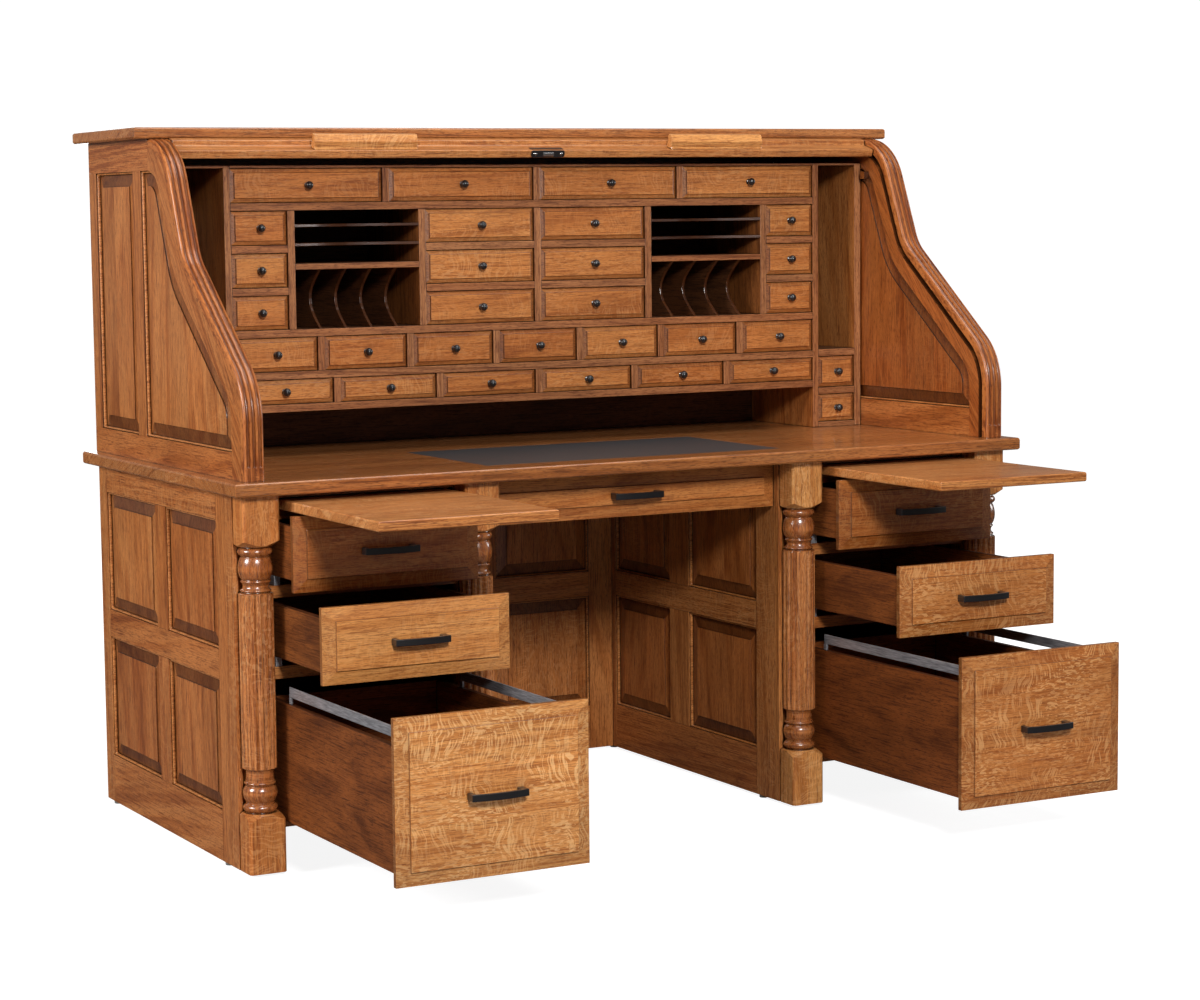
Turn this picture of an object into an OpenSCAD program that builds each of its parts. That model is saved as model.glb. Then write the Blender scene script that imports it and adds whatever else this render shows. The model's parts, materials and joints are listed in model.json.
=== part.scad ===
// Roll-top executive desk in quarter-sawn oak, drawn with its tambour open.
// X runs along the width, Y from front to back, Z up. All sizes are millimetres.

/* [Desktop] */
// Height of the writing surface above the floor
desk_h = 762; // [740:1:790]
// Width of the desktop slab
top_w = 1824; // [1800:2:1860]
// Thickness of the desktop slab
top_t = 26; // [22:1:30]
// How far the desktop reaches in front of the posts
top_front = 25; // [15:1:35]
// How far the desktop reaches behind the base
top_back = 38; // [30:1:50]
// Eased edge on the desktop and the top board
edge_ease = 3; // [1:0.5:5]
// Width of the inlaid writing pad
pad_w = 690; // [600:2:760]
// Depth of the inlaid writing pad
pad_d = 380; // [320:2:400]
// Distance from the front of the posts to the pad
pad_front = 52; // [40:1:70]
// Thickness of the pad and depth of its recess
pad_t = 3; // [2:0.5:5]

/* [Base] */
// How far the desktop reaches past a pedestal at the side
top_side = 23; // [18:1:28]
// Depth of the base from the front of the posts to the back
base_d = 834; // [820:1:850]
// Width of each pedestal
ped_w = 546; // [540:1:556]
// Height of the floor glides
glide_h = 6; // [4:1:10]
// Radius of the floor glides
glide_r = 9; // [6:1:11]
// Thickness of the frame-and-panel walls
wall_t = 20; // [18:1:22]
// Front of the face frame behind the posts
face_y = 57; // [54:1:58]
// Thickness of the face frame's rails
face_t = 20; // [18:1:22]
// Depth of the corner stile on the outer side
corner_t = 38; // [34:1:42]
// Depth of the corner stile on the kneehole side
knee_corner = 19; // [18:1:22]
// Width of the corner stiles behind the posts
corner_w = 70; // [68:1:75]
// Width of the front stile of a pedestal wall
stile_w = 48; // [44:1:60]
// Front edge of the middle stile of an outer wall
mid_stile_y = 427; // [420:1:440]
// Width of the middle stile of an outer wall
mid_stile = 61; // [56:1:66]
// Width of the front stile of a kneehole wall
knee_stile = 70; // [64:1:76]
// Front edge of the middle stile of a kneehole wall
knee_mid_y = 428; // [420:1:440]
// Width of the middle stile of a kneehole wall
knee_mid = 84; // [76:1:90]
// Height of the bottom rail of a wall
low_rail = 102; // [95:1:110]
// Height of the middle rail of a wall
mid_rail = 58; // [50:1:64]
// Height of the top rail of a wall
high_rail = 56; // [50:1:62]
// Height of the lower row of panels
low_panel_h = 260; // [240:1:270]
// Width of the bevel round a raised panel
bevel_w = 30; // [24:1:36]
// Distance from the modesty panel's face to the back of the base
modesty_back = 55; // [45:1:70]
// Width of the kneehole wall's stile in front of the modesty panel
modesty_stile = 17; // [12:1:24]

/* [Posts] */
// Width of the square blocks of a post
post_w = 76; // [74:1:78]
// Largest radius of the turning
turn_r = 34; // [32:0.5:34.5]
// Radius of the vase
vase_r = 31; // [29:0.5:33]
// Radius of the neck
neck_r = 26; // [24:0.5:28]
// Height of the foot block
foot_h = 115; // [108:1:120]
// Height of the top block down from the desktop
head_h = 99; // [94:1:104]
// Height of the vase and its rings
vase_h = 88; // [84:1:92]
// Number of flutes round the shaft
flute_count = 16; // [12:2:20]
// Depth of the flutes on the shaft
flute_depth = 2.5; // [1.5:0.5:3.5]

/* [Base drawers] */
// Gap between a drawer front and a post
front_side = 2; // [1.5:0.5:4]
// Thickness of a drawer front at its raised field
front_t = 20; // [19:1:20]
// Height of the top and middle drawer fronts
front_h = 146; // [142:1:147]
// Height of the file drawer front
file_h = 304; // [299:1:304]
// Bottom of the file drawer front above the floor
file_z = 78; // [76:1:80]
// Gap between two drawer fronts
front_gap = 12; // [11:1:14]
// Distance from a drawer box to the outside of its pedestal
box_side = 84; // [83:1:88]
// Drawer box depth
box_d = 600; // [575:5:620]
// Thickness of drawer sides
side_t = 13; // [12:1:15]
// Height of the drawer side's lower edge above the front's lower edge
side_lift = 22; // [20:1:23]
// Distance from the top of the side to the top of the front
side_drop = 21; // [20:1:26]
// Thickness of drawer bottoms
bottom_t = 6; // [5:1:8]
// Height of the hanging-file rails above the drawer sides
file_rail_lift = 13; // [10:1:15]
// Height of a hanging-file rail
file_rail_h = 20; // [16:1:21]
// Length of a hanging-file rail
file_rail_l = 490; // [460:5:520]
// Height of the frame rails between drawers
web_t = 24; // [22:1:25]
// Thickness of the pedestal floor
floor_t = 12; // [10:1:13]
// Width of the bearers that carry the slides
bearer_w = 100; // [90:1:110]

/* [Centre drawer and writing boards] */
// Front face of the centre drawer
pencil_y = 64; // [60:1:70]
// Height of the centre drawer front
pencil_h = 90; // [86:1:92]
// Gap above the centre drawer front
pencil_gap = 8; // [6:1:10]
// Side clearance of the centre drawer front
pencil_side = 3; // [2:0.5:4]
// Depth of the centre drawer box
pencil_d = 450; // [420:5:480]
// Width of the centre drawer slides
slide_w = 12; // [10:1:13]
// Distance from a writing board to the outside of its pedestal
board_side = 92; // [88:1:98]
// Thickness of a pull-out writing board
board_t = 20; // [18:1:21]
// Length of a pull-out writing board
board_d = 520; // [500:5:540]
// Distance from the desktop down to the writing board
board_gap = 14; // [13:1:15]
// Thickness of the writing board's bearers
board_bearer = 20; // [18:1:20]

/* [How far things are pulled out] */
// Left writing board
left_board_open = 455; // [430:5:460]
// Left top drawer
left_top_open = 100; // [90:5:110]
// Left middle drawer
left_mid_open = 230; // [210:5:250]
// Left file drawer
left_file_open = 541; // [520:1:545]
// Right writing board
right_board_open = 430; // [410:5:450]
// Right top drawer
right_top_open = 100; // [90:5:110]
// Right middle drawer
right_mid_open = 318; // [300:1:330]
// Right file drawer
right_file_open = 528; // [510:1:535]

/* [Handles] */
// Length of a bar pull
pull_l = 114; // [106:1:122]
// How far a bar pull stands out
pull_out = 28; // [24:1:32]
// Height of a bar pull
pull_h = 13; // [11:1:16]
// Radius of a small knob
knob_r = 8.5; // [7:0.5:10]
// How far a small knob stands out
knob_out = 20; // [17:1:22]

/* [Roll-top hutch] */
// Height over all
total_h = 1444; // [1440:1:1460]
// Distance from the outside of a hutch end to the outside of its pedestal
hutch_inset = 6; // [0:1:10]
// How far the hutch reaches behind the base
hutch_behind = 29; // [20:1:36]
// Thickness of the top board
lid_t = 23; // [20:1:24]
// Front edge of the top board
lid_front = 484; // [480:1:486]
// How far the top board reaches behind the hutch
lid_back = 17; // [12:1:25]
// Thickness of the outer layer of a hutch end
end_t = 20; // [18:1:22]
// Thickness of the inner layer, which holds the groove
inner_t = 21; // [19:1:23]
// Thickness of the fluted cap on the front of a hutch end
cap_t = 18; // [17:0.5:19]
// Width of the tambour groove
groove_w = 12.5; // [12:0.5:13]
// Width of the curved stile
curve_stile = 64; // [60:1:68]
// Radius of the belly of the curve
belly_r = 138; // [134:1:142]
// Slope of the curve above the belly, from the horizontal
slope_low = 38.4; // [37:0.2:40]
// Length of the flat slope above the belly
slope_l = 300; // [290:1:305]
// Radius of the hollow in the curve
hollow_r = 92; // [85:1:100]
// Slope of the curve above the hollow
slope_high = 67.5; // [66:0.5:69]
// Length of the steep slope
steep_l = 144; // [138:1:148]
// Radius of the shoulder under the top board
shoulder_r = 134; // [130:1:138]
// Number of flutes on a cap
cap_flutes = 3; // [2:1:4]
// Width of a flute on a cap
cap_flute_w = 7; // [5:0.5:8]
// Height where the flutes stop above the desktop
flute_stop = 30; // [20:1:45]
// Thickness of the hutch back
back_t = 12; // [9:1:15]
// Distance from the groove's rear run to the back of the hutch
groove_behind = 45; // [42:1:50]

/* [Tambour] */
// Thickness of a slat
slat_t = 11.5; // [11:0.25:11.5]
// Pitch of the slats
slat_pitch = 19.4; // [18:0.1:19.6]
// Thickness of the canvas behind the slats
canvas_t = 1; // [0.6:0.1:1.2]
// Slats in the stretch that bends first
bend_slats = 8; // [8:1:9]
// Room behind the flat stretch, where the tambour turns down
turn_room = 38; // [36:1:50]
// Slats in the stretch behind the organizer
rear_slats = 14; // [12:1:15]
// Thickness of the lead rail
rail_t = 20; // [19:1:20]
// Width of the lead rail
rail_w = 58; // [56:1:58]
// Tilt of the lead rail when the top is open
rail_tilt = 17; // [15:1:18]
// Back edge of the lead rail when open
rail_y = 488; // [487:0.5:490]
// Width of a finger lift
lift_w = 234; // [200:2:250]
// How far a finger lift stands out
lift_out = 28; // [22:1:30]
// Distance of the finger lifts from the middle
lift_x = 425; // [400:1:450]
// Drop of the groove's rear run behind the organizer
rear_low = 930; // [900:5:960]

/* [Organizer] */
// Front of the organizer
org_y = 481; // [480:1:484]
// Distance from the organizer's back to the groove's rear run
org_behind = 71; // [68:1:80]
// Gap between the top board and the organizer
org_gap = 55; // [54:1:58]
// Thickness of the organizer's top board
org_top_t = 5; // [4:0.5:6]
// Thickness of shelves and partitions
shelf_t = 15.5; // [14:0.5:16.5]
// Height of the open space under the organizer
open_h = 93.5; // [85:0.5:100]
// Height of the openings of the lowest row
low_row_h = 52.5; // [50:0.5:54]
// Thickness of the walls beside the towers
tower_wall = 14; // [12:1:16]
// Inner width of a tower
tower_w = 100; // [95:1:105]
// Thickness of a tower's outer wall
outer_wall = 16; // [14:1:18]
// Thickness of the tower's bottom board
tower_floor = 12; // [10:1:14]
// Height of the lowest tower drawer's opening
tower_low_h = 64; // [60:1:68]
// Width of the small drawers' openings
small_w = 126; // [120:1:132]
// Width of the letter bays
letter_w = 285; // [275:1:295]
// Thickness of letter shelves and dividers
thin_t = 6; // [5:0.5:7]
// Height of the part of a letter bay with thin shelves
letter_top_h = 111; // [105:1:117]
// Thickness of the shelf over the dividers
thick_t = 12; // [10:1:14]
// Pitch of the thin shelves above it
letter_pitch = 39.5; // [36:0.5:41]
// How far the fronts of the dividers are hollowed
hollow_d = 55; // [45:1:65]
// Thickness of the organizer's drawer fronts
small_front_t = 12; // [11:0.5:13]
// Room behind the organizer's drawer boxes
small_box_gap = 19; // [12:1:40]
// Thickness of the organizer's drawer sides
small_side_t = 8; // [7:0.5:9]
// Thickness of the organizer's back
org_back_t = 6; // [5:0.5:8]

/* [Fits] */
// Glue line between boards that are joined
seam = 0.2; // [0.15:0.05:0.3]
// Running clearance of drawers and slides
run = 0.4; // [0.3:0.05:0.5]
// Clearance round the organizer's drawer fronts
reveal = 0.6; // [0.4:0.1:0.8]
// Clearance between the bending tambour and the hutch ends
tambour_side = 0.6; // [0.5:0.1:0.8]

/* [Hidden] */
$fn = 40;
oak = "#a86d3c";
dark_oak = "#8a552c";
inner_wood = "#6b4426";
black_metal = "#26262a";
bright_metal = "#b9bcc0";
pad_grey = "#54575c";

// Names of the organizer's drawers: a letter for the row, from the top, and a number from the left
row_letter = ["a", "b", "c", "d", "e", "f"];
row_count = [4, 4, 4, 4, 7, 6];
function drawer_name(r, i) = str("organizer_drawer_", row_letter[r], i + 1);
function tower_name(side, level) = str(["left", "right"][side], ["_lower", "_upper"][level], "_tower_drawer");

// Sizes that follow from the ones above
base_w = top_w - 2 * top_side;
hutch_w = base_w - 2 * hutch_inset;
front_w = ped_w - 2 * post_w - 2 * front_side;
box_w = ped_w - 2 * box_side;
board_w = ped_w - 2 * board_side;
modesty_y = base_d - modesty_back;
hutch_back = base_d + hutch_behind;
rear_groove = hutch_back - groove_behind;
org_d = rear_groove - org_behind - org_y;

// Heights
case_top = desk_h - top_t;
hutch_h = total_h - lid_t;
board_z = case_top - board_gap - board_t;
top_z = file_z + file_h + front_gap + front_h + front_gap;
mid_z = file_z + file_h + front_gap;
pencil_z = case_top - pencil_gap - pencil_h;

// Depths
closed_y = face_y - run;
reach_front = closed_y - front_t - left_file_open - pull_out;
reach_back = hutch_back + lid_back;
y_shift = -(reach_front + reach_back) / 2;

// Places across the width
base_x = base_w / 2;
knee_x = base_x - ped_w;
ped_mid = (base_x + knee_x) / 2;
hutch_x = hutch_w / 2;
inner_x = hutch_x - end_t - inner_t;

// Height range that starts at z
function web(z, t) = [z, z + t];

// A box given by its two corners on each axis
module board(x, y, z) {
  translate([x[0], y[0], z[0]])
    cube([x[1] - x[0], y[1] - y[0], z[1] - z[0]]);
}

// Cross-section of a raised panel or drawer front: edge, bevel, step and field
function field_profile(w, edge, rise, field, bevel) = [
  [0, 0], [w, 0], [w, edge], [w - bevel, rise], [w - bevel, field],
  [bevel, field], [bevel, rise], [0, edge]
];

// Raised board facing -Y: two extruded sections meet in mitred bevels
module fielded(w, h, edge, rise, field, bevel) {
  intersection() {
    linear_extrude(height = h)
      polygon([for (p = field_profile(w, edge, rise, field, bevel)) [p[0], -p[1]]]);
    rotate([90, 0, 90])
      linear_extrude(height = w)
        polygon([for (p = field_profile(h, edge, rise, field, bevel)) [-p[1], p[0]]]);
  }
}

// Slab with eased edges all round
function eased(w, t, e) = [[e, 0], [w - e, 0], [w, e], [w, t - e], [w - e, t], [e, t], [0, t - e], [0, e]];

module eased_slab(w, d, t, e) {
  intersection() {
    translate([0, d, 0])
      rotate([90, 0, 0])
        linear_extrude(height = d)
          polygon(eased(w, t, e));
    rotate([90, 0, 90])
      linear_extrude(height = w)
        polygon(eased(d, t, e));
  }
}

// Raised panel: thickness, edge, top of the bevel, and how far it lies from the wall's hidden side
panel_t = 15;
panel_edge = 8;
panel_rise = 12.5;
panel_back = 2;

// Frame-and-panel wall facing -Y, from x = 0 to w, with its face at y = 0. The rails run from end stile
// to end stile, and the short middle stiles stand between them.
module framed_wall(w, z, cols, rows) {
  n = len(cols);
  m = len(rows);
  first = cols[0][0];
  last = cols[n - 1][1];
  board([0, first], [0, wall_t], z);
  board([last, w], [0, wall_t], z);
  for (j = [0:m])
    board([first + seam, last - seam], [0, wall_t],
          [j == 0 ? z[0] : rows[j - 1][1], j == m ? z[1] : rows[j][0]]);
  for (i = [1:n - 1])
    for (r = rows)
      board([cols[i - 1][1], cols[i][0]], [0, wall_t], [r[0] + seam, r[1] - seam]);
  for (c = cols)
    for (r = rows)
      translate([c[0] + seam, wall_t - panel_back, r[0] + seam])
        fielded(c[1] - c[0] - 2 * seam, r[1] - r[0] - 2 * seam,
                panel_edge, panel_rise, panel_t, bevel_w);
}

low_z = glide_h + low_rail;
wall_rows = [
  [low_z, low_z + low_panel_h],
  [low_z + low_panel_h + mid_rail, case_top - high_rail]
];

// Two equal columns between two end stiles and a middle one
function two_cols(w, edge, middle) = [
  [edge, (w - middle) / 2],
  [(w + middle) / 2, w - edge]
];

// Turned corner post, standing on the glides' level at its own axis
ring_h = 18;
shoulder_h = 12;
module turned_post() {
  r0 = post_w / 2;
  corner_r = 1.42 * r0;
  low_end = glide_h + foot_h;
  high_end = case_top - head_h;
  difference() {
    union() {
      intersection() {
        board([-r0, r0], [-r0, r0], [glide_h, low_end]);
        rotate_extrude()
          polygon([[0, glide_h], [corner_r, glide_h], [corner_r, low_end - shoulder_h], [r0, low_end],
                   [0, low_end]]);
      }
      intersection() {
        board([-r0, r0], [-r0, r0], [high_end, case_top]);
        rotate_extrude()
          polygon([[0, high_end], [r0, high_end], [corner_r, high_end + shoulder_h], [corner_r, case_top],
                   [0, case_top]]);
      }
      rotate_extrude()
        polygon(concat([[0, low_end]], vase_profile(low_end, 1), vase_profile(high_end, -1),
                       [[0, high_end]]));
      translate([0, 0, low_end + vase_h])
        linear_extrude(height = high_end - low_end - 2 * vase_h)
          polygon([for (i = [0:4 * flute_count - 1])
            (turn_r - flute_depth * [0, 0.7, 1, 0.7][i % 4])
            * [cos(90 * i / flute_count), sin(90 * i / flute_count)]]);
    }
    board([-r0 - 1, r0 + 1], [face_y - r0, r0 + 1], [glide_h - 1, low_end]);
    board([-r0 - 1, r0 + 1], [face_y - r0, r0 + 1], [high_end, case_top + 1]);
  }
}

// Ring, vase, neck and collar; dir is 1 up from the foot and -1 down from the head
function vase_profile(z, dir) =
  let (pts = [
    [turn_r - 6, 0], [turn_r - 2, 2], [turn_r, ring_h / 2], [turn_r - 2, ring_h - 2], [turn_r - 7, ring_h],
    [vase_r - 5, ring_h + 4], [vase_r - 1, ring_h + 12], [vase_r, ring_h + 24], [vase_r - 2, ring_h + 36],
    [neck_r + 1, ring_h + 44], [neck_r, ring_h + 52], [neck_r + 1, vase_h - 10], [turn_r, vase_h]
  ])
  dir > 0 ? [for (p = pts) [p[0], z + p[1]]]
          : [for (i = [len(pts) - 1:-1:0]) [pts[i][0], z - pts[i][1]]];

module place_posts() {
  for (x = [knee_x + post_w / 2, base_x - post_w / 2])
    for (side = [-1, 1])
      translate([side * x, post_w / 2, 0])
        children();
}

module turned_posts() {
  color(oak)
    translate([0, y_shift, 0])
      place_posts() turned_post();
}

// Front edges and lengths of the pedestal walls
outer_y = face_y + corner_t;
inner_y = face_y + knee_corner;
outer_w = base_d - outer_y;
inner_w = base_d - inner_y;

// Columns of panels: the outer wall counts from its back edge, the kneehole wall from its front edge
outer_cols = [
  [stile_w, base_d - mid_stile_y - mid_stile],
  [base_d - mid_stile_y, outer_w - stile_w]
];
knee_cols = [
  [knee_stile, knee_mid_y - inner_y],
  [knee_mid_y + knee_mid - inner_y, modesty_y - modesty_stile - inner_y]
];

// How far a drawer front covers the web below it, play round a writing board, and the glides' inset
web_lap = 2;
board_play = 1;
glide_in = 40;

// Hollow that the turning leaves in a corner stile
module corner_cove(x) {
  translate([x, post_w / 2, glide_h + foot_h])
    cylinder(r = turn_r + run, h = case_top - head_h - glide_h - foot_h);
}

// Left pedestal: walls, corner stiles, frames, bearers, back and glides
module pedestal() {
  x0 = -base_x;
  x1 = -knee_x;
  in0 = x0 + wall_t + seam;
  in1 = x1 - wall_t - seam;
  z = [glide_h, case_top];
  back_y = base_d - back_t;
  color(oak) {
    translate([x0, base_d, 0])
      rotate([0, 0, -90])
        framed_wall(outer_w - seam, z, outer_cols, wall_rows);
    translate([x1, inner_y + seam, 0])
      rotate([0, 0, 90])
        framed_wall(inner_w - seam, z, knee_cols, wall_rows);
  }
  color(dark_oak) {
    difference() {
      board([x0, x0 + corner_w], [face_y, outer_y], z);
      corner_cove(x0 + post_w / 2);
    }
    difference() {
      board([x1 - corner_w, x1], [face_y, inner_y], z);
      corner_cove(x1 - post_w / 2);
    }
    for (r = [[case_top - board_gap + board_play, case_top], web(board_z - board_bearer, board_bearer),
              web(top_z + web_lap - web_t, web_t), web(mid_z + web_lap - web_t, web_t),
              web(file_z + web_lap, floor_t)])
      board([x0 + corner_w + seam, x1 - corner_w - seam], [face_y, face_y + face_t], r);
  }
  color(inner_wood) {
    for (r = [web(board_z - board_bearer, board_bearer),
              web(top_z + web_lap - web_t, web_t), web(mid_z + web_lap - web_t, web_t)]) {
      board([in0, in0 + bearer_w], [outer_y + seam, back_y - seam], r);
      board([in1 - bearer_w, in1], [outer_y + seam, back_y - seam], r);
    }
    board([in0, -ped_mid - board_w / 2 - run], [outer_y + seam, back_y - seam],
          web(board_z + seam, board_t + board_play));
    board([-ped_mid + board_w / 2 + run, in1], [outer_y + seam, back_y - seam],
          web(board_z + seam, board_t + board_play));
    board([in0, in1], [outer_y + seam, back_y - seam], web(file_z + web_lap, floor_t));
    board([in0, in1], [back_y, base_d], [file_z + web_lap, case_top]);
  }
  color(black_metal)
    for (x = [x0 + wall_t / 2, x1 - wall_t / 2])
      for (y = [outer_y + glide_in, base_d - glide_in])
        translate([x, y, 0])
          cylinder(r = glide_r, h = glide_h - seam);
}

module left_pedestal() {
  translate([0, y_shift, 0]) pedestal();
}

module right_pedestal() {
  translate([0, y_shift, 0]) mirror([1, 0, 0]) pedestal();
}

// Widths of the modesty panel's end stiles and middle stile
modesty_end = 62;
modesty_mid = 76;
module modesty_panel() {
  w = 2 * (knee_x - seam);
  color(dark_oak)
    translate([-w / 2, modesty_y + y_shift, 0])
      framed_wall(w, [glide_h, case_top], two_cols(w, modesty_end, modesty_mid), wall_rows);
}

// Desktop slab with the pad's recess
module desktop() {
  color(oak)
    translate([-top_w / 2, -top_front + y_shift, case_top])
      difference() {
        eased_slab(top_w, top_front + base_d + top_back, top_t, edge_ease);
        translate([top_w / 2 - pad_w / 2 - seam, top_front + pad_front - seam, top_t - pad_t])
          cube([pad_w + 2 * seam, pad_d + 2 * seam, pad_t + 1]);
      }
}

module writing_pad() {
  color(pad_grey)
    translate([-pad_w / 2, pad_front + y_shift, desk_h - pad_t])
      cube([pad_w, pad_d, pad_t]);
}

// Bar pull, bowed forwards, with its back at y = 0
module bar_pull() {
  w = pull_l / 2;
  leg = 10;
  bow = 7;
  bar = 8;
  outer = [for (u = [-1:0.25:1]) [w * u, -pull_out + bow * u * u]];
  inner = [for (u = [1:-0.25:-1]) [(w - leg) * u, -pull_out + bar + bow * u * u]];
  color(black_metal)
    translate([0, 0, -pull_h / 2])
      linear_extrude(height = pull_h)
        polygon(concat([[-w, 0]], outer, [[w, 0], [w - leg, 0]], inner, [[-w + leg, 0]]));
}

// Mushroom knob with its back at y = 0
module knob() {
  color(black_metal)
    rotate([90, 0, 0])
      rotate_extrude()
        polygon([[0, 0], [knob_r - 2, 0], [knob_r - 2, 2], [knob_r / 2, 4], [knob_r / 2, knob_out / 2],
                 [knob_r, knob_out - 7], [knob_r, knob_out - 4], [knob_r - 3, knob_out - 1], [0, knob_out]]);
}

// Raised field of a drawer front: width and depth of its bevel, and the step up to the field
base_field = [26, 5, 4];
small_field = [9, 3, 2.4];
module raised_front(w, h, t, field) {
  rise = t - field[2];
  translate([-w / 2, 0, 0])
    fielded(w, h, rise - field[1], rise, t, field[0]);
}

// Drawer box of separate boards behind the front, from y = 0 backwards
module drawer_box(w, d, z, t, bottom) {
  for (side = [-1, 1])
    board([side > 0 ? w / 2 - t : -w / 2, side > 0 ? w / 2 : -w / 2 + t], [seam, d], z);
  in = w / 2 - t - seam;
  board([-in, in], [seam, t], z);
  board([-in, in], [d - t, d], z);
  board([-in, in], [t + seam, d - t - seam], [z[0] + bottom, z[0] + 2 * bottom]);
}

// Thickness of a file rail, width and thickness of its brackets
file_rail_t = 3;
bracket_w = 10;
bracket_t = 5;

// Range of width t with zero in its middle
function middle(t) = [-t / 2, t / 2];

// Base drawer, closed, with its origin at the bottom middle of the front's back face
module base_drawer(h, w, bw, d, file) {
  z = [side_lift, h - side_drop - (file ? file_rail_lift + file_rail_h - file_rail_t : 0)];
  color(oak)
    raised_front(w, h, front_t, base_field);
  color(inner_wood)
    drawer_box(bw, d, z, side_t, bottom_t);
  translate([0, -front_t, h / 2])
    bar_pull();
  if (file)
    color(bright_metal)
      for (side = [-1, 1])
        translate([side * (bw / 2 - side_t / 2), 0, z[1]]) {
          board(middle(file_rail_t), [seam, file_rail_l], web(file_rail_lift, file_rail_h));
          for (y = [seam, file_rail_l - bracket_w])
            board(middle(bracket_t), web(y, bracket_w), [seam, file_rail_lift - seam]);
        }
}

module pulled(x, z, out) {
  translate([x, closed_y - out + y_shift, z])
    children();
}

module left_top_drawer() {
  pulled(-ped_mid, top_z, left_top_open) base_drawer(front_h, front_w, box_w, box_d, false);
}

module left_middle_drawer() {
  pulled(-ped_mid, mid_z, left_mid_open) base_drawer(front_h, front_w, box_w, box_d, false);
}

module left_file_drawer() {
  pulled(-ped_mid, file_z, left_file_open) base_drawer(file_h, front_w, box_w, box_d, true);
}

module right_top_drawer() {
  pulled(ped_mid, top_z, right_top_open) base_drawer(front_h, front_w, box_w, box_d, false);
}

module right_middle_drawer() {
  pulled(ped_mid, mid_z, right_mid_open) base_drawer(front_h, front_w, box_w, box_d, false);
}

module right_file_drawer() {
  pulled(ped_mid, file_z, right_file_open) base_drawer(file_h, front_w, box_w, box_d, true);
}

// Box of the centre drawer: its width, the heights of its sides and of their slides
pencil_box_w = 2 * (knee_x - slide_w - run);
pencil_side_z = [20, 80];
pencil_slide_z = [30, 60];
module centre_drawer() {
  w = 2 * (knee_x - pencil_side);
  translate([0, pencil_y + front_t + y_shift, pencil_z]) {
    color(oak)
      raised_front(w, pencil_h, front_t, base_field);
    color(inner_wood)
      drawer_box(pencil_box_w, pencil_d, pencil_side_z, side_t, bottom_t);
    translate([0, -front_t, pencil_h / 2])
      bar_pull();
  }
}

// Eased edge of a writing board
board_ease = 2;
module writing_board(out) {
  color(oak)
    translate([-board_w / 2, closed_y - front_t - out + y_shift, board_z + run])
      eased_slab(board_w, board_d, board_t - 2 * run, board_ease);
}

module left_writing_board() {
  translate([-ped_mid, 0, 0]) writing_board(left_board_open);
}

module right_writing_board() {
  translate([ped_mid, 0, 0]) writing_board(right_board_open);
}

// Fixed slide members under every drawer side, and beside the centre drawer, behind its front
slide_back = 2;
module drawer_slides() {
  color(bright_metal)
    translate([0, y_shift, 0]) {
      for (side = [-1, 1])
        for (edge = [-1, 1])
          for (level = [[top_z, top_z], [mid_z, mid_z], [file_z + floor_t, file_z]])
            translate([side * ped_mid + edge * (box_w / 2 - side_t / 2), 0, 0])
              board(middle(side_t), [face_y + seam, face_y + box_d],
                    [level[0] + web_lap + seam, level[1] + side_lift - run]);
      for (edge = [-1, 1])
        board([edge > 0 ? knee_x - slide_w : -knee_x + seam, edge > 0 ? knee_x - seam : -knee_x + slide_w],
              [pencil_y + front_t + slide_back, pencil_y + front_t + pencil_d],
              [pencil_z + pencil_slide_z[0], pencil_z + pencil_slide_z[1]]);
    }
}

// The S curve of a hutch end as [y, z, heading], from the belly to the top
function turn(c, r, a0, a1, n, sign) = [for (i = [0:n])
  let (a = a0 + (a1 - a0) * i / n)
  [c[0] - sign * r * sin(a), c[1] + sign * r * cos(a), a]];

rise_shoulder = shoulder_r * (1 - cos(slope_high));
rise_steep = steep_l * sin(slope_high);
rise_hollow = hollow_r * (cos(slope_low) - cos(slope_high));
rise_slope = slope_l * sin(slope_low);
rise_belly = belly_r * cos(slope_low);
belly_z = hutch_h - rise_shoulder - rise_steep - rise_hollow - rise_slope - rise_belly;
belly_end = [belly_r * (1 - sin(slope_low)), belly_z + rise_belly];
hollow_start = belly_end + slope_l * [cos(slope_low), sin(slope_low)];
hollow_mid = hollow_start + hollow_r * [-sin(slope_low), cos(slope_low)];
hollow_end = hollow_mid + hollow_r * [sin(slope_high), -cos(slope_high)];
shoulder_start = hollow_end + steep_l * [cos(slope_high), sin(slope_high)];
shoulder_mid = shoulder_start + shoulder_r * [sin(slope_high), -cos(slope_high)];
curve_top_y = shoulder_mid[0];

s_curve_base = concat(
  turn([belly_r, belly_z], belly_r, 90, slope_low, 8, 1),
  turn(hollow_mid, hollow_r, slope_low, slope_high, 5, -1),
  turn(shoulder_mid, shoulder_r, slope_high, 0, 9, 1)
);

// The same curve moved inwards by d
function s_curve(d) = [for (p = s_curve_base) [p[0] + d * sin(p[2]), p[1] - d * cos(p[2])]];
function reversed(list) = [for (i = [len(list) - 1:-1:0]) list[i]];

// Upright plate with its outline in Y and Z, between two X planes
module plate_x(x, pts) {
  translate([x[0], 0, 0])
    rotate([90, 0, 90])
      linear_extrude(height = x[1] - x[0])
        polygon(pts);
}

// Strip between two depths under the curve, down to the height low
function s_strip(d0, d1, low) = concat([[d0, low]], s_curve(d0), reversed(s_curve(d1)), [[d1, low]]);

// Rails and stiles of the hutch ends
end_bottom = 53;
inner_bottom = 62;
end_back_stile = 45;
end_mid_y = 539;
end_mid_w = 48;
inner_back_y = 770;

// Curved panel: border round its field, depth of its face behind the frame, and how far the field rises
field_in = 30;
face_in = 3;
field_rise = 5;

// Stop block: size, distance in front of the organizer and below the top
stop_w = 12;
stop_h = 16;
stop_y = 32;
stop_z = 91;

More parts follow.
